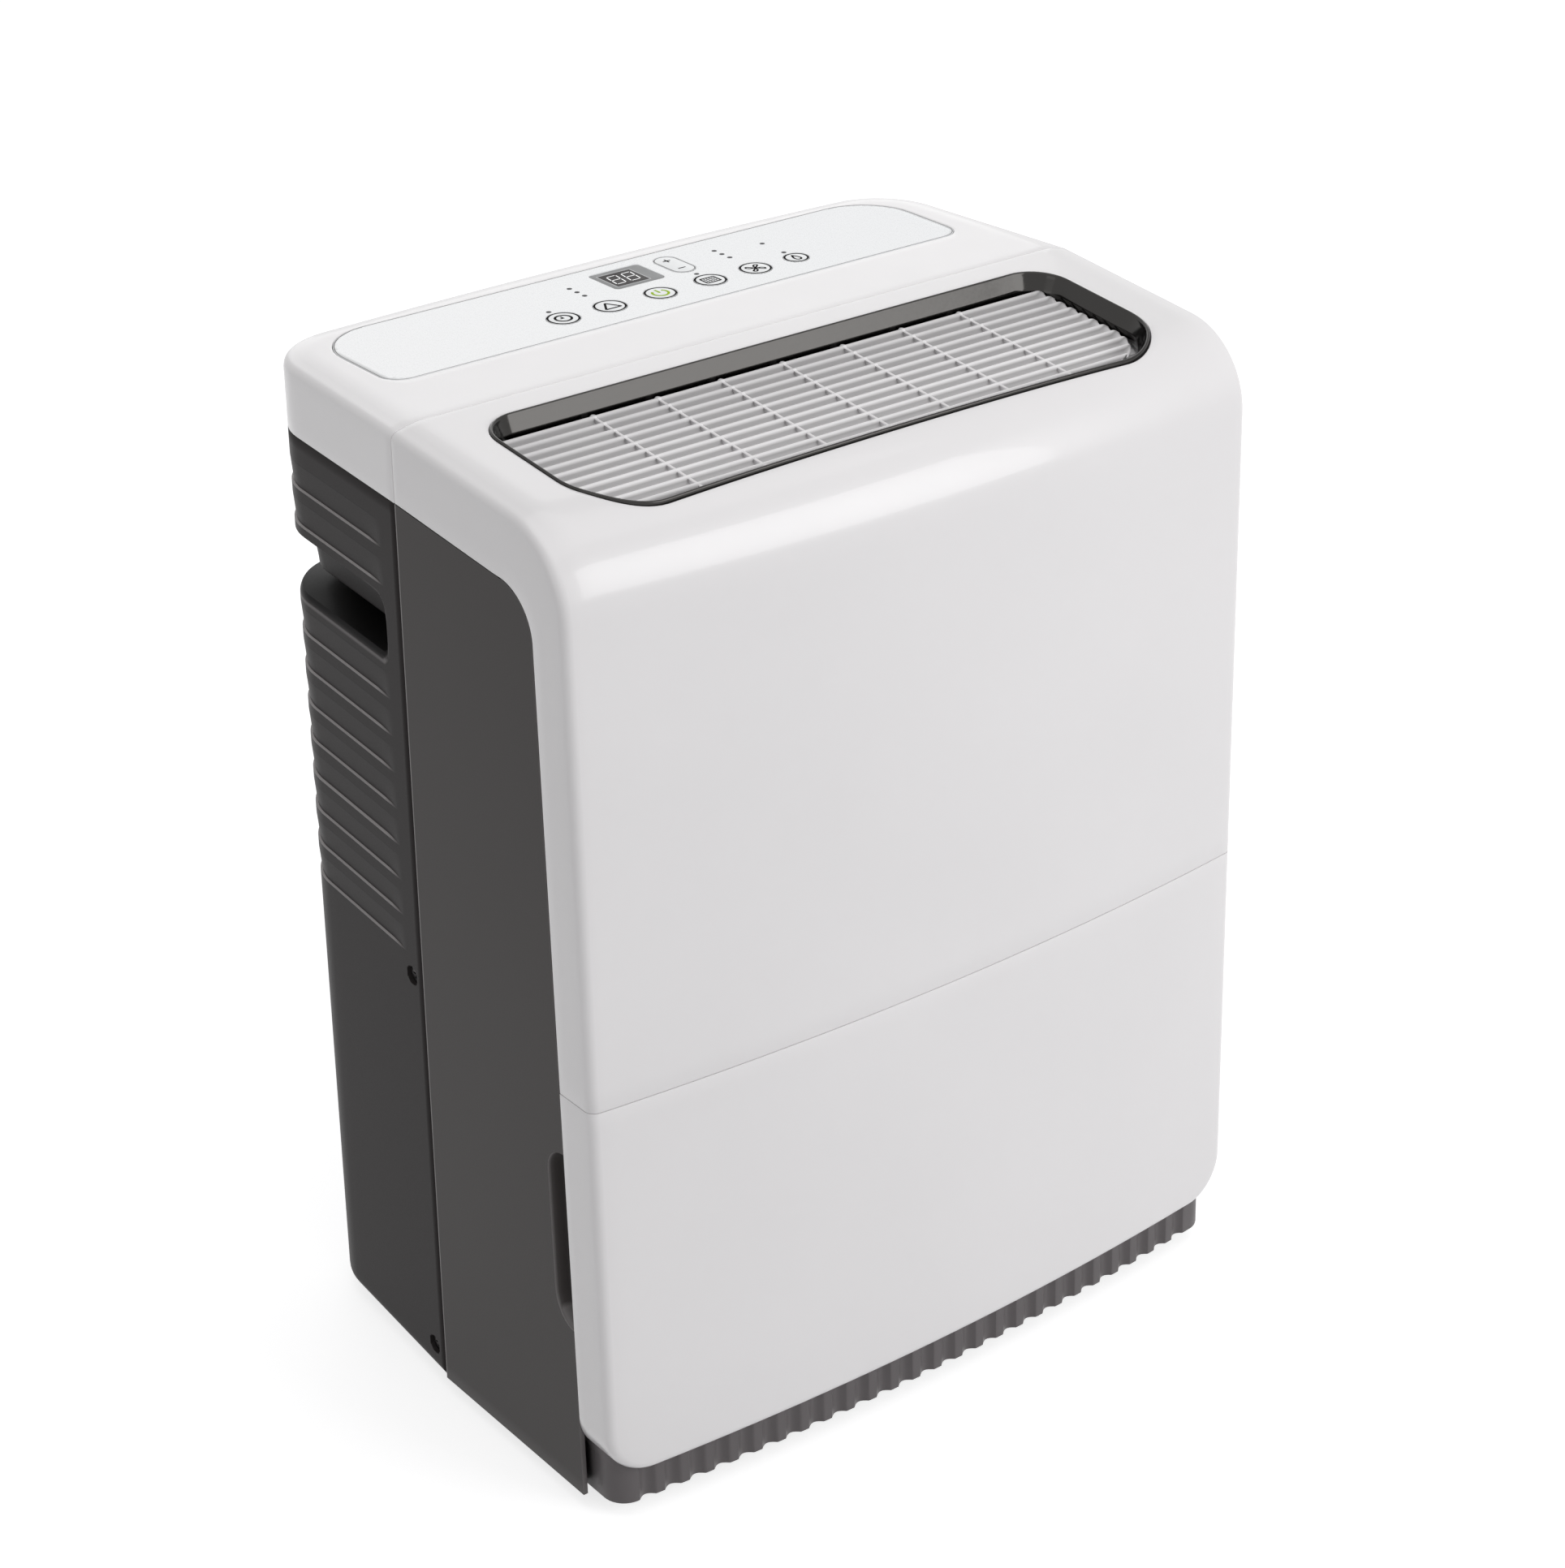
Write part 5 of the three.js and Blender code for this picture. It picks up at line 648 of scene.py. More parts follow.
# ---------------------------------------------------------------- outlet bezel
# A metallised frame pressed round the air outlet. Its lip lies on the cover, its inner wall slopes
# down and in to the louvre, and a short foot hangs below that.
LIP_ROW = 4


def tipped(x, y, z):
    """The level drawing of the outlet turned about the seam onto the sloping top."""
    across_y, across_z = (y - SEAM) * math.cos(SLOPE), (y - SEAM) * math.sin(SLOPE)
    return grid(x, SEAM + across_y - z * math.sin(SLOPE), TOP + across_z + z * math.cos(SLOPE))


def cover_drop(x, y):
    """How far the cover lies below the tipped plane at a place of the level drawing."""
    p = front_form(x, form_step(x, SEAM + (y - SEAM) * math.cos(SLOPE)))
    return (p[..., 2] - TOP) * math.cos(SLOPE) - (p[..., 1] - SEAM) * math.sin(SLOPE)


wall_t = np.linspace(0, 1, 7)[1:]
bezel_in = np.concatenate([[0, 0, 0, 0.2, 0.6, 1.1, 1.5, 1.7], 1.7 + 3.4 * wall_t, [5.1, 4.0, 0]])
bezel_z = np.concatenate([[-10.5, -5, 0.1, 0.55, 0.8, 0.75, 0.4, -0.3], -0.3 - 7.2 * wall_t, [-10.5] * 3])
follow = np.concatenate([[0, 0.6, 1, 1, 1, 1, 1, 1], 1 - wall_t, [0, 0, 0]])
bezel_path = outline(OUTLET, *OUTLET_R, bezel_in, 16, 24)
lift = np.minimum(cover_drop(bezel_path[LIP_ROW, :, 0], bezel_path[LIP_ROW, :, 1]), 0)
bezel = tipped(bezel_path[..., 0], bezel_path[..., 1], bezel_z[:, None] + follow[:, None] * lift[None])
chrome = metal("smoked chrome", (62, 61, 60), 0.14, 0.1, 0.16, 700.0, 2.0)
chrome.bump(chrome.noise(60.0), 0.02, 0.0002)
piece("outlet_bezel_frame", [bezel], chrome, "cabinet", ["outlet_bezel"], sharp=40)

# ---------------------------------------------------------------- outlet louvre
# One grey moulding of eleven cove blades: each has a rounded rim along its rear edge that turns down
# its ends, and dips forward under the rim of the next. Seven ribs run under them, fore and aft.
SINK, PITCH, BLADES, BLADE_HALF, BLADE_FRONT, BLADE_BACK = 7.0, 7.55, 11, 155.3, -94.8, -14.8
RIM_W, END_R, TILT, BLADE_TAIL = 1.2, 3.0, 0.28, 8.0
COVE_START, COVE_RUN, COVE_POWER, COVE_END, COVE_FALL = 1.1, 1.35, 1.3, 3.4, 3.1
RIB_PITCH, RIBS_EACH_SIDE, RIB_LOW, RIB_HIGH = 35.1, 3, -15.5, -SINK - 0.7


def louvre_half(y):
    """Half width of the louvre field at a place fore and aft: straight, then a circle to the front."""
    r = OUTLET_R[0] - 8.2
    ahead = np.clip(BLADE_FRONT + r - y, 0, r * 0.97)
    return BLADE_HALF - r + np.sqrt(r * r - ahead * ahead)


def cove(d):
    """How far a blade has fallen at a distance ahead of its rear edge."""
    return COVE_FALL * (1 - np.exp(-(np.maximum(d - COVE_START, 0) / COVE_RUN) ** COVE_POWER))


def blade(rear_y, tail):
    """One blade: across it a crowned rim and then the cove. Along it the cove shallows to a plain tilt at
    both ends, where the rim turns the corner on a circle."""
    d = steps((0, RIM_W, COVE_END, tail), 6, 9, 6)[:, None]
    end = np.concatenate([[0, 0.1, 0.35, 0.7, 1.1, 1.6, 2.2, 3.0, 4.2, 7.0], np.linspace(10, 155, 22)])
    e = np.append(end, end[-2::-1])
    side = np.append(0 * end - 1, 0 * end[1:] + 1)
    depth = eased(e, 0.9, 3.9)
    rim_top = 0.3 * (np.minimum(d, RIM_W) / (RIM_W / 2) - 1) ** 2
    edge_drop = 0.35 * np.clip(1 - e / 0.5, 0, 1) ** 2
    tilted = (TILT * d + 0.1) * (1 - depth) * (d > RIM_W)
    z_top = -SINK - (rim_top + cove(d)) * depth - tilted - edge_drop
    low_d, low = np.array([[tail, 1.4], [tail * 0.5, 1.6], [1.5, 1.6], [0.2, 1.3], [0, 0.9]]).T[:, :, None]
    z_low = -SINK - cove(low_d) * depth - TILT * low_d * (1 - depth) - low
    turn = np.where(e < END_R, END_R - np.sqrt(np.maximum(END_R ** 2 - (END_R - e) ** 2, 0)), 0)
    y = rear_y - turn - np.concatenate([d, low_d, d[:1]]) * (tail - turn) / tail
    x = side * np.maximum(louvre_half(y) - e, 0)
    rows = tipped(x, y, np.concatenate([z_top, z_low, z_top[:1]]))
    caps = [np.broadcast_to(rows[:, i].mean(0), rows[:, i].shape)[:, None] for i in (0, -1)]
    return np.concatenate([caps[0], rows, caps[1]], 1)


def rib(x, half=0.85, ease=0.3):
    """A bar under the blades, fore and aft, with eased upper edges."""
    high = RIB_HIGH - ease
    section = [(-half, RIB_LOW), (half, RIB_LOW), (half, high), (half - ease, RIB_HIGH),
               (ease - half, RIB_HIGH), (-half, high), (-half, RIB_LOW)]
    ends = np.repeat([BLADE_FRONT + 0.5, BLADE_BACK - 0.5], 2)
    across_bar, upward, along_bar = carried(section, np.mean(section[:-1], 0), ends)
    return tipped(x + across_bar, along_bar, upward)


def peg(x, r=1.7):
    """A short upright peg with a domed top, at the rear end of a rib."""
    a = np.linspace(0, 2 * np.pi, 15)
    k = np.array([0.0, 1.0, 1.0, 0.8, 0.0])[:, None] * r
    z = np.array([-10.0, -10.0, -SINK - 0.7, -SINK - 0.3, -SINK - 0.2])[:, None]
    return tipped(x + k * np.cos(a), BLADE_BACK + k * np.sin(a), z)


rears = BLADE_BACK - np.arange(BLADES) * PITCH
louvre = [blade(rear_y, min(BLADE_TAIL, rear_y - BLADE_FRONT)) for rear_y in rears]
rib_x = np.arange(-RIBS_EACH_SIDE, RIBS_EACH_SIDE + 1) * RIB_PITCH
louvre += [rib(x) for x in rib_x] + [peg(x) for x in rib_x]
ledge = outline(OUTLET, *OUTLET_R, [1.0, 9.7, 9.7, 1.0, 1.0], 16, 24)
louvre.append(tipped(ledge[..., 0], ledge[..., 1], np.array([-15.8, -15.8, -12.8, -12.8, -15.8])[:, None]))
blade_grey = moulded("louvre grey", (214, 212, 213), 0.38)
# The grey is painted with light and shade: a painted highlight on each blade's rim, painted shade in the
# cove just ahead of it, a painted highlight along each rib, and the rear blades painted darker than the
# front ones.
sideways, fore_aft, height = blade_grey.along("X", "Y", "Z")
level_y = (fore_aft - SEAM / 1000) * math.cos(SLOPE) + (height - TOP / 1000) * math.sin(SLOPE)
behind_rim = ((BLADE_BACK + 0.1 - SEAM) / 1000 - level_y) / (PITCH / 1000)
stops = [(0.0, 1.0), (0.17, 1.0), (0.27, 0.2), (0.42, 0.45), (0.7, 0.8), (0.99, 0.85), (1.0, 1.0)]
in_pitch = blade_grey.maths("FRACT", behind_rim)
across_blade = blade_grey.node("ShaderNodeValToRGB", {"stops": stops}, {0: in_pitch})
nearer_front = blade_grey.spread(behind_rim, 0.0, 9.0, 0.62, 1.0)
side_on = sideways / (RIB_PITCH / 1000) + 0.5
near_rib = abs(blade_grey.maths("FRACT", side_on) - 0.5) < 0.8 / RIB_PITCH
on_rib = near_rib * (abs(side_on - 0.5) < 3.4)
painted_light_and_shade = blade_grey.maths("MAXIMUM", across_blade * nearer_front, on_rib * 0.85)
blade_grey.feed("Base Color", blade_grey.mix(painted_light_and_shade, linear((138, 136, 137)), linear((248, 246, 247))))
piece("outlet_louvre", louvre, blade_grey, "cabinet", ["outlet_grille"], sharp=50)

# ---------------------------------------------------------------- bucket front
# The lower white front, moulded like the cover above it and screwed to the water bucket, so that the
# joint between them is only a fine line. Its lower corners are round and its back edge is open.
FLAT_ROWS, CORNER_COLUMN, FLANGE_END, FLANGE_MIN = 4, 38, 1.66, 0.085


def bucket_row(edge, t):
    """Border of the bucket front, drawn in by edge. t runs 0 to 1 down the right side, to 2 round the
    lower corner circle, to 3 in along the foot, and the same again mirrored to 6."""
    edge, t = np.broadcast_arrays(edge, t)
    side, t = unfolded(t)
    high, r = BUCKET_TOP - GAP, BUCKET_R - edge
    cx, cz = HALF - BUCKET_R, BUCKET_LOW + BUCKET_R
    a = -np.pi / 2 * np.clip(t - 1, 0, 1)
    x = np.where(t > 2, cx * (3 - t), cx + r * np.cos(a))
    return side * x, np.where(t < 1, high + (cz - high) * t, cz + r * np.sin(a))


border_t = stations(24, 15, 24)
edge_in = np.append(np.zeros(FLAT_ROWS), EDGE * BEND)
edge_back = np.append(np.full(FLAT_ROWS, EDGE), EDGE * BEND[::-1])
border_x, border_z = bucket_row(edge_in[:, None], border_t[None])
face_y = front_y(border_x, border_z) + edge_back[:, None]
flange = np.clip(1 - (unfolded(border_t)[1] - FLANGE_END) * 8, FLANGE_MIN, 1)
edge_y = face_y[FLAT_ROWS]
back_y = edge_y + (band_y(border_z[0]) - GAP - edge_y) * flange
w = np.linspace(1, 0, FLAT_ROWS + 1)[:-1, None]
border_y = np.concatenate([edge_y * (1 - w) + back_y * w, face_y[FLAT_ROWS:]])
border = grid(border_x, border_y, border_z)
share = np.linspace(0, 1, 47)[None, :, None]
right_half, left_half = border[-1, :CORNER_COLUMN, None], border[-1, :-CORNER_COLUMN - 1:-1, None]
fill = right_half * (1 - share) + left_half * share
fill[..., 1] = front_y(fill[..., 0], fill[..., 2])
white_piece("bucket_front", [border, fill], "bucket")

# ---------------------------------------------------------------- side panels
# Flat dark plates between the white front and the rear housing, one on each side. Beside the bucket
# each has a moulded finger pocket, so that the bucket front can be gripped and drawn out.
FOOT, SLOT_LOW, SLOT_HIGH, SLOT_W, SLOT_DEPTH, SLOT_FROM = 8.0, 100.0, 194.0, 13.0, 9.0, 11


def plate_front():
    """Front edge of the dark plate as a path from the foot up: the leaning line, the pocket's D with two
    elliptical ends, the line again, and a quarter circle under the white band."""
    low, high = np.linspace(FOOT, SLOT_LOW, SLOT_FROM + 1), np.linspace(SLOT_HIGH, BAND_Z, 24)
    a = quarter(10)
    low_z = SLOT_LOW + 1.3 * SLOT_W * (1 - np.cos(a))
    high_z = SLOT_HIGH - 1.0 * SLOT_W * (1 - np.cos(a[::-1]))
    straight = np.linspace(low_z[-1], high_z[0], 14)[1:-1]
    slot_z = np.concatenate([low_z, straight, high_z])
    reach = np.concatenate([np.sin(a), 0 * straight + 1, np.sin(a[::-1])]) * SLOT_W
    b = np.pi - (np.pi / 2 - SLOPE - 0.01) * np.linspace(0, 1, 16)[1:]
    bend_y = band_y(BAND_Z) + BAND_R + BAND_R * np.cos(b)
    y = np.concatenate([band_y(low[:-1]), band_y(slot_z) + reach, band_y(high[1:]), bend_y])
    z = np.concatenate([low[:-1], slot_z, high[1:], BAND_Z + BAND_R * np.sin(b)])
    return y, z, slice(SLOT_FROM, SLOT_FROM + len(slot_z))


plate_y, plate_z, slot = plate_front()
seam_z = FOOT + (plate_z - FOOT) / (plate_z[-1] - FOOT) * (SIDE_TOP - BAND_H - FOOT)
plate = ring_to_hole(grid(HALF, plate_y, plate_z), grid(HALF, COVER_BACK, seam_z), 12)
# Two extra rows beside the seam edge and the front edge carry painted highlight lines along those edges.
near_seam = plate[-1:] - (0, 0.9, 0)
near_front = plate[:1] * 0.96 + plate[1:2] * 0.04
plate = np.concatenate([plate[:1], near_front, plate[1:-1], near_seam, plate[-1:]])
plate_highlight = np.zeros(plate.shape[:2])
plate_highlight[-1], plate_highlight[0] = 0.75, 0.3
depth = np.array([-0.4, 0.3, 1.2, 3.0, 6.0, 7.6, 8.6, SLOT_DEPTH])[:, None]
draw = np.array([0, 0.1, 0.25, 0.4, 0.8, 1.4, 2.6, 4.5])[:, None]
mid_z = (SLOT_LOW + SLOT_HIGH) / 2
pocket_z = mid_z + (plate_z[slot] - mid_z) * (1 - draw / (SLOT_HIGH - mid_z))
pocket_y = np.maximum(plate_y[slot] - draw, band_y(plate_z[slot]) - 2.5)
pocket = grid(HALF - 0.4 - depth, pocket_y, pocket_z)
floor_line = grid(pocket[-1, :, 0], band_y(pocket[-1, :, 2]) - 3.0, pocket[-1, :, 2])
pocket_floor = ring_to_hole(pocket[-1], floor_line, 4)
# The finger pocket is painted lighter at its rim and near its lower end, as painted highlight, and darker
# with depth down to its floor, as painted shade.
pocket_painted_light = np.array([0.7, 0.45, 0.1, 0, -0.2, -0.35, -0.5, -0.6])[:, None] + 0 * pocket_y
pocket_painted_light = pocket_painted_light + 0.5 * (pocket_z < SLOT_LOW + 8) * (depth > 1)
pocket_painted_lights = [pocket_painted_light, np.full(pocket_floor.shape[:2], -0.65)]
dark = moulded_with_painted_light("dark shell", (55, 51, 50), gloss=0.2)
pocket_grey = moulded_with_painted_light("pocket wall", (88, 84, 83))
for name, turn in (("left", MIRROR), ("right", 1.0)):
    piece(f"side_plate_{name}", [plate * turn], dark, "cabinet", [f"side_panel_{name}"],
          thick=2.4, bevel=0.3, tone=[plate_highlight])
    pocket_patches = [pocket * turn, pocket_floor * turn]
    piece(f"finger_pocket_{name}", pocket_patches, pocket_grey, "cabinet", sharp=60,
          tone=pocket_painted_lights)

# ---------------------------------------------------------------- rear housing
# The dark rear shell, one deep moulding: clapboard boards that each end in a narrow ledge, a hand
# grip sunk round each rear corner with a deep pocket under its flap, and the window for the intake.
LEDGES = 242.2 + 18.45 * np.array([0, 1, 2, 3, 4, 5, 6, 7, 10, 11])
GRIP_LOW, GRIP_HIGH, GRIP_FRONT, GRIP_DEPTH = 388.0, 421.5, 24.5, 8.0
POCKET_HIGH, POCKET_DEPTH = 403.0, 19.0
SCREW_Y, SCREWS_Z, WELL_R, WELL_DEPTH = 19.5, (21.5, 231.0), 4.5, 5.0
LEDGE_H, BOARD_H, MOUTH_R, LIP_R = 0.3, 12.4, 9.0, 8.0
INTAKE, INTAKE_R = (-142.3, 142.3, 211.7, 452.3), 12.0
FOOT_RISE, FOOT_IN = (0, 0.5, 1.2, 2.2, 3.4, 4.8), (2.6, 1.7, 0.95, 0.4, 0.1, 0.0)
CORNER_ARC = REAR_R * (math.pi / 2 - TAPER)
SIDE_RUN = (CORNER_Y + REAR_R * math.sin(TAPER) - TOP_BACK) / math.cos(TAPER)
RUNS = [0, SIDE_RUN, SIDE_RUN + CORNER_ARC, SIDE_RUN + CORNER_ARC + CORNER_X]
GRIP_END = SEAM + RUNS[2] - 0.5


def around(places, reach, step):
    """Close stations on both sides of some places."""
    return np.add.outer(places, np.arange(-reach, reach + 1e-6, step)).ravel()


def spaced(values, least):
    """Stations in order, without those that stand too close to the one before."""
    values = np.unique(np.round(np.concatenate(values), 2))
    return values[np.append(True, np.diff(values) > least)]


def board_depth(z):
    """How far the wall lies inside its plan line: 1 mm just above each ledge, running out to nothing
    12.7 mm higher."""
    above = z[None, :] - LEDGES[:, None]
    fading = np.minimum(above / LEDGE_H, 1) * np.clip(1 - (above - LEDGE_H) / BOARD_H, 0, 1)
    return np.where(above > 0, fading, 0).max(0)


housing_z = spaced([
    FOOT + np.array(FOOT_RISE), steps((16, 230, 470.85), 20, 44),
    np.add.outer(LEDGES, [-0.5, -0.22, 0.0, 0.3, 0.55, 1.2, 12.3, 12.7, 13.1]).ravel(),
    around([GRIP_LOW, GRIP_HIGH, POCKET_HIGH], 4.5, 0.75), around(SCREWS_Z, 5.6, 0.5)], 0.2)
housing_run = spaced([
    steps(RUNS, 14, 22, 30), around([GRIP_FRONT - SEAM, GRIP_END - SEAM], 4.0, 0.8),
    around([SCREW_Y - SEAM], 5.6, 0.5)], 0.3)
housing_run[-1] = RUNS[3]
housing_t = np.interp(housing_run, RUNS, [0, 1, 2, 3])
U, Z = np.meshgrid(housing_run, housing_z)
back_u = SEAM + U
strip_free = eased(U, 14.5, 27.0)
inset = board_depth(housing_z)[:, None] * strip_free + np.interp(Z, FOOT + np.array(FOOT_RISE), FOOT_IN)
mouth = -rounded_box(back_u, Z, (GRIP_FRONT, GRIP_END, GRIP_LOW, GRIP_HIGH), MOUTH_R, MOUTH_R)
crisp = GRIP_DEPTH * eased(mouth, -0.4, 1.8) * (1 + 0.25 * eased(GRIP_HIGH - Z, 0, 20))
lip_z = np.clip((Z - GRIP_LOW) / LIP_R, 0, 1)
rolled_lip = GRIP_DEPTH * (1 - np.sqrt(np.clip(1 - lip_z ** 2, 0, 1)))
recess = np.minimum(crisp, np.where(Z < GRIP_LOW + 9.0, rolled_lip, 99.0))
hand_box = (GRIP_FRONT + 1.2, GRIP_END - 1.2, GRIP_LOW + 4.5, POCKET_HIGH)
recess = recess + POCKET_DEPTH * eased(-rounded_box(back_u, Z, hand_box, 3.0, 1.0), -0.2, 3.6) * (mouth > 0)
inset = np.where(mouth > -0.6, np.maximum(recess, inset * (mouth < 0)), inset)
wells = np.minimum.reduce([np.hypot(back_u - SCREW_Y, Z - screw_z) for screw_z in SCREWS_Z])
inset = inset + WELL_DEPTH * eased(WELL_R - wells, -0.1, 0.25)
# Painted light on the shell: a painted highlight along each ledge and on the grip's lower lip, a painted
# shadow line at each board's crease, painted shade on the grip's flap, and painted black in its pocket.
above = Z[None] - LEDGES[:, None, None]
on_wall = strip_free * (mouth < -0.6)
ledge_highlight = ((above > -0.1) & (above < 0.35)).any(0) * on_wall
crease_shadow = 0.5 * ((above > 12.5) & (above < 12.9)).any(0) * on_wall
flap = 0.4 * eased(mouth, 0.2, 1.4) * (Z > GRIP_LOW + 6)
pit = eased(Z, GRIP_LOW + 0.8, GRIP_LOW + 2.8) * (Z < POCKET_HIGH + 0.4) * (mouth > 0.8)
lip_highlight = eased(Z, GRIP_LOW - 1.0, GRIP_LOW + 0.5) * (1 - eased(Z, GRIP_LOW + 1.0, GRIP_LOW + 3.5))
rear_light_and_shade = ledge_highlight + 0.35 * (mouth > -2) * lip_highlight - np.maximum.reduce([crease_shadow, flap, pit])
shell_x, shell_y = rear_plan(housing_t[None], inset)
intake_room = lambda at_x, at_z: np.where(
    at_x < CORNER_X - 1, rounded_box(at_x, at_z, INTAKE, INTAKE_R, INTAKE_R), 9.0)
shell_x, shell_z, window = punched(shell_x, Z, intake_room)
half_shell = grid(shell_x, shell_y, shell_z)
housing = moulded_with_painted_light("dark housing", (50, 47, 47), gloss=0.06)
piece("rear_housing_shell", [(half_shell, window), (half_shell * MIRROR, window)], housing, "cabinet",
      ["rear_housing"], thick=2.2, sharp=40, tone=[rear_light_and_shade, rear_light_and_shade])

# ---------------------------------------------------------------- key panel
# A thin satin film, die-cut to the shape of its bed and stuck down in it. Six round keys, a rocker
# and the display window come up through its holes, and the marks are screen-printed in one pass.
KEY_Y, KEY_R, PUMP_R, KEY_H, HOLE_GAP = 74.8, 7.9, 6.2, 4.2, 0.25
KEYS = {"timer": -58.6, "mode": -32.2, "power": -3.1, "filter": 26.3, "fan": 53.3, "pump": 78.1}
KEY_RADII = {name: PUMP_R if name == "pump" else KEY_R for name in KEYS}
ROCKER, ROCKER_R = (20.1, 32.5, 90.9, 115.9), 6.15
DISPLAY, DISPLAY_R = (-16.2, 12.4, 91.4, 115.4), 2.4


def film_room(x, y):
    """How far a place lies inside the film: the least of its distances to the edge and to each hole."""
    rooms = [-rounded_box(x, y, PANEL, *PANEL_R)]
    rooms += [np.hypot(x - KEYS[name], y - KEY_Y) - KEY_RADII[name] - HOLE_GAP for name in KEYS]
    rooms += [rounded_box(x, y, ROCKER, ROCKER_R, ROCKER_R) - HOLE_GAP]
    return np.minimum.reduce([*rooms, rounded_box(x, y, DISPLAY, DISPLAY_R, DISPLAY_R) - HOLE_GAP])


def key_block(box, r, top, low, edge=0.3):
    """A rounded rectangle drawn up from a low face to a top face, its top edge a quarter circle."""
    a = quarter(5)
    inset = np.concatenate([[r, 0], edge * (1 - np.cos(a)), [r]])
    z = np.concatenate([[low, low], top - edge * (1 - np.sin(a)), [top]])
    shape = raised(outline(box, r, r, inset), z[:, None])
    spine = shape[[0, -1]] * (1, 0, 1) + (0, (box[2] + box[3]) / 2, 0)
    return np.concatenate([spine[:1], shape, spine[1:]])


def key_profile(r, edge=0.35, stalk_r=3, stalk_h=3):
    """Section of a round key: a flat top, a rolled edge, a straight skirt and a thin stalk."""
    top, low = TOP + 0.05, TOP - KEY_H
    rolled = grid(r - edge * BEND[::-1], top - edge * BEND)
    return [(0, top), *rolled, (r, low), (stalk_r, low), (stalk_r, low - stalk_h), (0, low - stalk_h)]


film_x = np.concatenate([np.arange(-167, -70, 2.4), np.arange(-70, 88, 0.8), np.arange(88, 169, 2.4)])
film_y = np.concatenate([np.arange(52, 65, 1.3), np.arange(65, 118, 0.8), np.arange(118, 127, 1.3)])
film_x, film_y, film_gone = punched(*np.meshgrid(film_x, film_y), film_room)
satin = Finish("satin film", (236, 238, 239), 0.3, {"Coat Weight": 0.5, "Coat Roughness": 0.12})
flake = satin.noise(2600.0, 1.0)
# The film is painted lighter at its left end and darker at its right: a painted sheen.
satin.tint(satin.along("X")[0] + 0.02 * flake, -0.165, 0.165, (243, 244, 245), (229, 231, 233))
satin.gloss(flake, 0.3, 0.7, 0.24, 0.36)
satin.bump(flake, 0.1, 0.000004)
film = (grid(film_x, film_y, TOP), film_gone)
piece("panel_film", [film], satin, "cabinet", ["panel_sheet"], thick=0.95)
cap = moulded("key cap", (236, 238, 239), 0.34, coat=0.3)
for name, key_x in KEYS.items():
    key_shape = turned(key_profile(KEY_RADII[name]), (key_x, KEY_Y, 0))
    piece(f"key_cap_{name}", [key_shape], cap, f"key_{name}", [f"key_{name}"], sharp=50)
rocker_shape = key_block(ROCKER, ROCKER_R, TOP + 0.05, TOP - KEY_H)
piece("rocker_cap", [rocker_shape], cap, "key_plus_minus", ["key_plus_minus"], sharp=50)

# ---------------------------------------------------------------- printed marks
# Opaque screen ink on the keys: a ring and a plain sign on each, the power sign in green.
# A fine grey line is printed round the film and round the rocker.
INK_Z, SIGN_R, SIGN_Y = TOP + 0.08, 3.9, 103.4


def line(points, width, closed=False):
    """A flat line along a path: half its width to either side, square to the path's direction."""
    p = np.asarray(points, float)
    if closed:
        p = p[:-1] if np.allclose(p[0], p[-1]) else p
        p = np.concatenate([p[-1:], p, p[:2]])
        along, p = p[2:] - p[:-2], p[1:-1]
    else:
        along = np.gradient(p, axis=0)
    along = along / np.linalg.norm(along, axis=1, keepdims=True) * width / 2
    beside = grid(-along[:, 1], along[:, 0])
    return raised(np.stack([p - beside, p + beside]), INK_Z)


def arc_path(r, start=0, end=360, count=60):
    """Part of a circle, in degrees from the +x axis."""
    return circle(0, 0, r, np.radians(np.linspace(start, end, count)))


def eased_loop(corners, r, count=7):
    """A closed polygon whose corners are eased by parabolas that start r before each and end r after."""
    c = np.asarray(corners, float)
    before, after = np.roll(c, 1, axis=0) - c, np.roll(c, -1, axis=0) - c
    start = c + r * before / np.linalg.norm(before, axis=1, keepdims=True)
    end = c + r * after / np.linalg.norm(after, axis=1, keepdims=True)
    t = np.linspace(0, 1, count)[None, :, None]
    loop = (1 - t) ** 2 * start[:, None] + 2 * t * (1 - t) * c[:, None] + t ** 2 * end[:, None]
    loop = loop.reshape(-1, 2)
    return np.concatenate([loop, loop[:1]])


def spun(points, degrees):
    """A path turned about the middle of its key."""
    a = math.radians(degrees)
    return np.asarray(points) @ np.array([[math.cos(a), math.sin(a)], [-math.sin(a), math.cos(a)]])


def printed(name, shapes, place, ink, body):
    """One print: flat shapes moved to their place on the panel."""
    piece(name, [shape + np.array([*place, 0.0]) for shape in shapes], ink, body, sharp=180)


drop_t = np.linspace(0, 2 * np.pi, 60)
water_drop = grid(2.3 * np.sin(drop_t) * np.sin(drop_t / 2) ** 1.4, 3.3 * np.cos(drop_t) + 0.2)
petal = eased_loop([(0.35, 0.3), (0.6, 2.7), (2.2, 4.2), (3.7, 3.3), (2.4, 2.0)], 0.75)
filter_frame = eased_loop([(-3.9, -3.3), (3.9, -3.3), (3.9, 3.3), (-3.9, 3.3)], 0.7)
filter_bars = [[(x, -2.6), (x, 2.6)] for x in (-2.2, -0.75, 0.75, 2.2)]
filter_bars += [[(-3.1, y), (3.1, y)] for y in (-1.1, 1.1)]
clock_hands = [line([(0, 2.5), (0, 0)], 0.9), line([(0.45, 0), (-1.7, 0)], 0.9)]
blades = [line(spun(petal, turn), 0.95, True) for turn in (0, 90, 180, 270)]
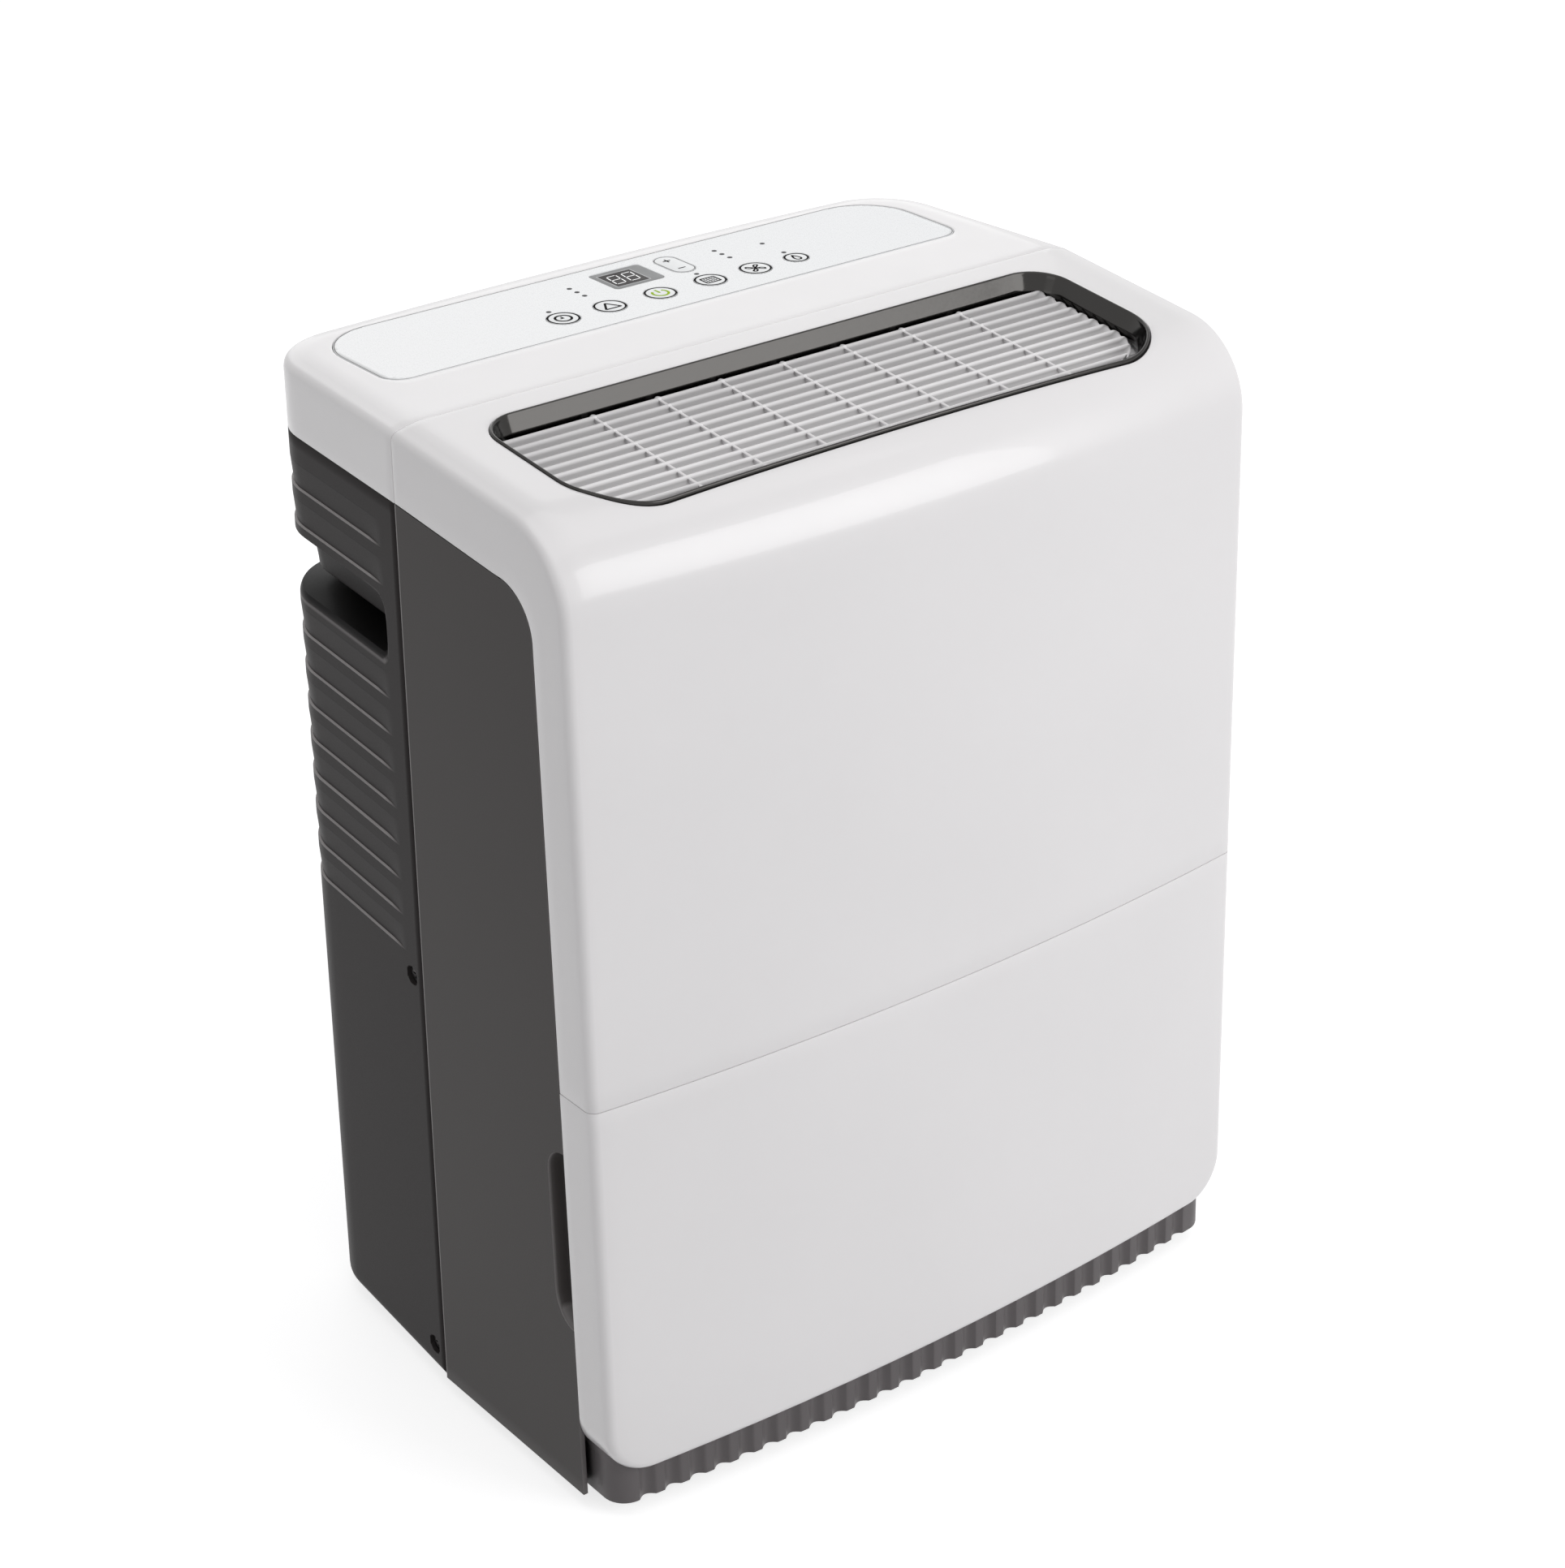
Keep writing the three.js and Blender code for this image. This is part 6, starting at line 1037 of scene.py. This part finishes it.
marks = {
    "timer": [line(arc_path(SIGN_R), 1.25, True)] + clock_hands,
    "mode": [line(eased_loop([(-4.3, -3.1), (4.3, -3.1), (0, 4.3)], 0.6), 1.15, True)],
    "filter": [line(filter_frame, 1.0, True)] + [line(bar, 0.45) for bar in filter_bars],
    "fan": blades + [line(arc_path(0.35), 0.7, True)],
    "pump": [line(water_drop, 1.05, True)],
}
black_ink = moulded("black ink", (20, 17, 18), 0.75, gloss=0.05)
green_ink = moulded("green ink", (164, 200, 22), 0.6, gloss=0.1)
grey_ink = moulded("grey ink", (140, 138, 139), 0.6, gloss=0.1)
for name, key_x in KEYS.items():
    key_ring = line(arc_path(KEY_RADII[name] - 0.55, count=90), 0.95, True)
    printed(f"ink_{name}", [key_ring] + marks.get(name, []), (key_x, KEY_Y), black_ink, f"key_{name}")
power_sign = [line(arc_path(SIGN_R, 130, 410, 80), 1.3), line([(0, 4.8), (0, 0.3)], 1.2)]
printed("ink_power_sign", power_sign, (KEYS["power"], KEY_Y), green_ink, "key_power")
strokes = ([(-2.1, 6.3), (2.1, 6.3)], [(0, 4.2), (0, 8.4)], [(-2.1, -6), (2.1, -6)])
plus_minus = [line(ends, 0.9) for ends in strokes]
printed("ink_plus_minus", plus_minus, ((ROCKER[0] + ROCKER[1]) / 2, SIGN_Y), black_ink, "key_plus_minus")
outer_x, outer_y = np.moveaxis(outline((-172, 172, 48, 130), 36.0, 36.0, 0, 60), -1, 0)
film_edge = np.stack([on_outline(outer_x, outer_y, PANEL, *PANEL_R, -inset) for inset in (0.35, 0.8)])
piece("ink_film_edge", [raised(film_edge, TOP + 0.02)], grey_ink, "cabinet", sharp=180)
rocker_rim = line(outline(ROCKER, ROCKER_R, ROCKER_R, 0.3, 16), 0.4, True)
piece("ink_rocker_rim", [rocker_rim], grey_ink, "key_plus_minus", sharp=180)

# ---------------------------------------------------------------- display and lamps
# A smoked acrylic window with a grey printed surround, over two seven-segment digits. The small
# lamps beside the keys are the domed ends of one light guide.
WINDOW, DIGITS_X, DIGITS_Y = (-13.3, 5.6, 94.4, 112.0), (-8.05, 0.35), 103.3
BAR_HALF, BAR_TIP, DIGIT_LEAN, RIM_AT, RIM_HALF = 2.4, 0.31, 0.12, 0.0001, 0.00025
LAMPS = [(-59, 86), (-33, 106.4), (-33, 100.2), (-33, 94), (26.3, 85.7),
         (53.3, 107.4), (53.3, 101.2), (53.3, 95), (78.1, 84.4), (78.1, 101.4)]
glass = Finish("smoked window", (38, 33, 34), 0.4, {"Specular IOR Level": 0.08})
beyond = []
for place, low, high in zip(glass.along("X", "Y"), WINDOW[::2], WINDOW[1::2]):
    beyond.append(abs(place - (low + high) / 2000) - (high - low) / 2000)
outside = glass.maths("MAXIMUM", *beyond)
framed = glass.mix(outside > 0.0, glass.colour, linear((150, 151, 152)))
on_rim = abs(outside - RIM_AT) < RIM_HALF
glass.feed("Base Color", glass.mix(on_rim, framed, linear((205, 206, 207))))
glass.gloss(glass.noise(120.0), 0.3, 0.7, 0.34, 0.46)
window_block = key_block(DISPLAY, DISPLAY_R, TOP - 0.1, TOP - 4.0, 0.2)
piece("display_glass", [window_block], glass, "cabinet", ["display_window"], sharp=50)


def segment(middle, upright):
    """One bar of a digit: a long hexagon, pointed at both ends, that leans as the digit does."""
    shoulder = BAR_HALF - BAR_TIP
    upper = np.array([(-BAR_HALF, 0), (-shoulder, BAR_TIP), (shoulder, BAR_TIP), (BAR_HALF, 0)])
    both = np.stack([upper, upper * (1, -1)])
    both = (both[..., ::-1] if upright else both) + np.asarray(middle)
    return both + DIGIT_LEAN * both[..., 1:] * (1, 0)


digit = [segment((0, y), False) for y in (-5.4, 0, 5.4)]
digit += [segment((x, y), True) for x in (-2.7, 2.7) for y in (-2.7, 2.7)]
digits = [raised(part + (digit_x, DIGITS_Y), TOP - 0.07) for digit_x in DIGITS_X for part in digit]
lit = Finish("lit segment", (245, 245, 245), 0.4, {"Emission Strength": 0.35})
glowing = lit.noise(900.0, 1.0)
lit.tint(glowing, 0.3, 0.7, (240, 240, 240), (250, 250, 250))
lit.tint(glowing, 0.3, 0.7, (225, 226, 228), (240, 241, 243), "Emission Color")
piece("display_digits", digits, lit, "cabinet", sharp=180)
dome = [(0, TOP + 0.08), (0.8, TOP + 0.06), (1.3, TOP + 0.03), (1.45, TOP - 0.3), (0, TOP - 0.3)]
lenses = [turned(dome, (*spot, 0), sides=24) for spot in LAMPS]
lens = moulded("lamp lens", (70, 70, 72), 0.5, gloss=0.1)
piece("lamp_lenses", lenses, lens, "cabinet", sharp=60)

# ---------------------------------------------------------------- water bucket
# The tub behind the bucket front, blow-moulded in grey with a rolled rim, and the fluted skirt
# below it that closes the foot of the machine: flat lands between hollow coves.
TUB_HALF, TUB_REAR, TUB_FLOOR, TUB_R, FLOOR_R, TUB_SETBACK = 181.0, -6.0, 38.3, 16.0, 8.0, 6.5
SKIRT_HALF, SKIRT_SETBACK, SKIRT_R, SKIRT_RETURN = 189.0, 6.0, 12.0, 16.0
COVES, COVE_DEPTH, COVE_SHARE = 26, 2.5, 0.66
EARS, EAR_HALF, EAR_MIDDLE, EAR_Y, EAR_Z = {"left": 113, "right": 127}, 1.2, (2, 6), -19, 182
FLIP = MIRROR[:2]


def skirt_line(z, inset):
    """Plan line of the skirt from its right end round the front to its left end. Across the front each
    pitch is two thirds cove, half a sine deep, and one third flat land."""
    z, inset = z[:, None], inset[:, None]
    r, span = SKIRT_R - inset, SKIRT_HALF - SKIRT_R
    x = np.linspace(span, -span, COVES * 20 + 1)
    phase = ((x + span) / (2 * span) * COVES) % 1
    cove_in = COVE_DEPTH * np.where(phase < COVE_SHARE, np.sin(np.pi * phase / COVE_SHARE), 0.0)
    front = grid(x, front_y(x, z) + SKIRT_SETBACK + inset + cove_in * (inset < 1))
    corner_y = front_y(span, z) + SKIRT_SETBACK + SKIRT_R
    bend = circle(span, corner_y, r, -quarter(12)[:-1])
    tail = grid(SKIRT_HALF - inset, corner_y + SKIRT_RETURN)
    return raised(np.concatenate([tail, bend, front, bend[:, ::-1] * FLIP, tail * FLIP], 1), z)


def tub_line(z, inset):
    """Closed plan line of the tub at a height: a straight back, rounded corners, and a front that
    follows the bowed and leaning bucket front."""
    z, inset = z[:, None], inset[:, None]
    r, span = TUB_R - inset, TUB_HALF - TUB_R
    rear_bend = circle(span, TUB_REAR - TUB_R, r, quarter(10))
    corner_y = front_y(span, z) + TUB_SETBACK + TUB_R
    front_bend = circle(span, corner_y, r, quarter(10) - np.pi / 2)
    x = np.linspace(-span, span, 40)[1:-1]
    front = grid(x, front_y(x, z) + TUB_SETBACK + inset)
    left = [rear_bend[:, ::-1] * FLIP, front_bend[:, ::-1] * FLIP]
    return raised(np.concatenate([rear_bend, *left, front, front_bend, rear_bend[:, :1]], 1), z)


skirt_z = np.array([8.3, 8.5, 9.1, 16, 24, 32, 39.2, 39.7, 39.8, 39.8])
skirt_in = np.array([0.5, 0.15, 0, 0, 0, 0, 0, 0.15, 0.5, 5.6])
tub_grey = moulded("tub grey", (104, 100, 101), 0.42, grain=0.008, shade=0.03, gloss=0.22)
up_wall = np.linspace(60, 200, 8)
tub_z = np.concatenate([TUB_FLOOR + FLOOR_R * BEND, up_wall, [203.4, 203.8, 206.0, 206.0]])
tub_in = np.concatenate([FLOOR_R * BEND[::-1], 0 * up_wall, [0, -1.4, -1.4, 2.6]])
walls = tub_line(tub_z, tub_in)
tub_middle = np.array([0, -66, 0])
inward = np.array([0.01, 0.3, 0.6, 0.9])[:, None, None] * (1, 1, 0) + (0, 0, 1)
tub = np.concatenate([tub_middle + (walls[:1] - tub_middle) * inward, walls])
piece("water_tub", [tub], tub_grey, "bucket", ["bucket_tub"], thick=2.4, sharp=50)
piece("bucket_skirt", [skirt_line(skirt_z, skirt_in)], tub_grey, "bucket", thick=2.0, sharp=30)
ear = [(-6.0, 0), (-6.0, 8), (-3.5, 11), (0, 12), (14.0, 12), (14.0, 0), (-6.0, 0)]
ear_y, ear_z, ear_x = carried(ear, EAR_MIDDLE, np.repeat([-EAR_HALF, EAR_HALF], 2))
for name, middle_x in EARS.items():
    ear_grid = grid(middle_x + ear_x, EAR_Y + ear_y, EAR_Z + ear_z)
    piece(f"float_ear_{name}", [ear_grid], tub_grey, "bucket", bevel=0.3)

# ---------------------------------------------------------------- base and casters
# A black-grey base tray carries everything and slides on four swivel casters: each has a pressed
# steel fork with its stem in the tray, and a nylon wheel with a soft tread on a riveted axle.
CASTER_X, CASTER_Y, TRAIL = {"left": -150.0, "right": 150.0}, {"front": -68.0, "rear": 92.0}, 5.0
WHEEL_R, WHEEL_HALF, TREAD_HALF, TREAD_R = 12.0, 5.5, 4.3, 1.2
dress("base_pan", moulded("base tray", (62, 59, 60), 0.55, grain=0.015, shade=0.04, gloss=0.22))
tread = moulded("soft tread", (40, 40, 42), 0.72, grain=0.02, shade=0.06)
hub = moulded("nylon hub", (176, 174, 172), 0.5, grain=0.01)
rolled = grid(WHEEL_R - TREAD_R * BEND, TREAD_HALF - TREAD_R * BEND[::-1])
half_tread = np.concatenate([rolled, [(8.6, TREAD_HALF)]])
tread_profile = np.concatenate([half_tread[::-1] * (1, -1), half_tread])
half_hub = np.array([(8.6, -4.0), (7.6, -3.4), (5.6, -3.2), (5.2, -WHEEL_HALF), (2.4, -WHEEL_HALF)])
hub_profile = np.concatenate([half_hub, half_hub[::-1] * (1, -1)])
for x_name, caster_x in CASTER_X.items():
    for y_name, caster_y in CASTER_Y.items():
        caster, solid = f"caster_{y_name}_{x_name}", f"caster_wheel_{y_name}_{x_name}"
        rim_shape, hub_shape = (
            turned(profile, (caster_x, caster_y + TRAIL, WHEEL_R), "x", sides)
            for profile, sides in ((tread_profile, 48), (hub_profile, 32)))
        piece(f"{caster}_tread", [rim_shape], tread, f"{caster}_wheel", [solid], sharp=50)
        piece(f"{caster}_hub", [hub_shape], hub, f"{caster}_wheel", sharp=50)
        dress(f"caster_fork_{y_name}_{x_name}", steel)

# ---------------------------------------------------------------- air intake
# The grey intake louvre clipped into the back of the housing: a rounded frame, twelve slats with
# round noses and two uprights behind them. A woven mesh filter slides in behind it.
FACE_Y, REACH, SLATS, SLAT_END, POSTS_X, FRAME_W, THREADS = 137.0, 5.0, 12, 137.0, (-47.3, 47.3), 6.0, 400.0
INTAKE_BOX = (-142.0, 142.0, 212.0, 452.0)
frame_in = np.array([0, 0, 0.35, 1.2, FRAME_W - 1.2, FRAME_W - 0.35, FRAME_W, FRAME_W, 0])
frame_out = np.array([0, REACH - 1.2, REACH - 0.35, REACH, REACH, REACH - 0.35, REACH - 1.2, 0, 0])
frame_path = outline(INTAKE_BOX, INTAKE_R, INTAKE_R, frame_in)
intake = [grid(frame_path[..., 0], FACE_Y - 1 + frame_out[:, None], frame_path[..., 1])]
nose = circle(2.0, 0, 1.6, np.linspace(-np.pi / 2, np.pi / 2, 7))
slat = [*nose, (-0.8, 1.1), (-0.8, -1.1), nose[0]]
slat_y, slat_z, slat_x = carried(slat, (1, 0), np.array([-1, -1, 0, 1, 1]) * SLAT_END)
for z in np.linspace(INTAKE_BOX[2] + FRAME_W, INTAKE_BOX[3] - FRAME_W, SLATS + 2)[1:-1]:
    intake.append(grid(slat_x, FACE_Y + slat_y, z + slat_z))
post = [(-1.5, -1.0), (1.5, -1.0), (1.5, 0.6), (-1.5, 0.6), (-1.5, -1.0)]
post_x, post_y, post_z = carried(post, (0, 0), np.repeat([INTAKE_BOX[2] + 3, INTAKE_BOX[3] - 3], 2))
intake += [grid(x + post_x, FACE_Y - 0.2 + post_y, post_z) for x in POSTS_X]
intake_grey = moulded("intake grey", (56, 53, 53), 0.44, grain=0.008, shade=0.03, gloss=0.22)
piece("intake_louvre", intake, intake_grey, "intake_filter", ["intake_grille"], sharp=50)
cloth = Finish("filter mesh", (52, 54, 58), 0.6)
threads = [abs(cloth.maths("FRACT", place * THREADS) - 0.5) for place in cloth.along("X", "Z")]
weave = cloth.maths("MAXIMUM", *threads)
cloth.tint(weave, 0.3, 0.42, (20, 21, 24), (72, 75, 80))
cloth.bump(weave, 0.4, 0.0002)
dress("filter_screen", cloth)

# ---------------------------------------------------------------- ports, gland and screws
# Small fittings: the gravity drain with its knurled cap, the pump outlet, the cord gland, and the
# crosshead screws that hold the housing, down their wells beside the seam.
for node in ("drain_spigot", "drain_cap", "pump_outlet"):
    dress(node, black)
dress("cord_gland", moulded("gland rubber", (28, 28, 30), 0.7, grain=0.01))
black_oxide = metal("black oxide steel", (92, 90, 90), 0.3, 0.25, 0.42, 700.0)
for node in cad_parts:
    if node.startswith("side_screw"):
        dress(node, black_oxide)

# ---------------------------------------------------------------- works inside
# What stands in the machine behind its covers: the sheet-steel frame and fan scroll, the sealed
# compressor with its copper line, two finned coils, the pump, float and the electric boxes.
zinc = enamelled("zinc sheet", (168, 170, 170), 0.4, 1.0)
works = {
    "mid_frame": moulded("inner frame", (48, 47, 49), 0.55, grain=0.012),
    "fan_scroll": moulded("fan scroll", (58, 57, 60), 0.5, grain=0.012),
    "fan_wheel": moulded("fan wheel", (40, 40, 43), 0.45, grain=0.008),
    "fan_shaft": steel,
    "fan_motor": zinc,
    "condenser_coil": finned("condenser fins", (182, 184, 186), 1.8),
    "evaporator_coil": finned("evaporator fins", (190, 194, 198), 2.2),
    "drip_tray": moulded("drip tray", (60, 58, 60), 0.5, grain=0.01),
    "compressor": enamelled("black enamel", (30, 30, 32), 0.32),
    "suction_line": enamelled("copper pipe", (186, 112, 74), 0.3, 1.0),
    "power_box": zinc,
    "run_capacitor": enamelled("capacitor can", (150, 152, 154), 0.35, 1.0),
    "condensate_pump": moulded("pump body", (44, 44, 48), 0.45, grain=0.01),
    "bucket_float": moulded("float foam", (226, 222, 210), 0.85, grain=0.05, shade=0.05),
    "bucket_switch": black,
    "key_board": enamelled("circuit board", (38, 86, 58), 0.45),
    "key_tray": moulded("key tray", (206, 206, 204), 0.5, grain=0.01),
    "light_guide": moulded("light guide", (232, 234, 236), 0.25),
}
for node, finish in works.items():
    dress(node, finish)
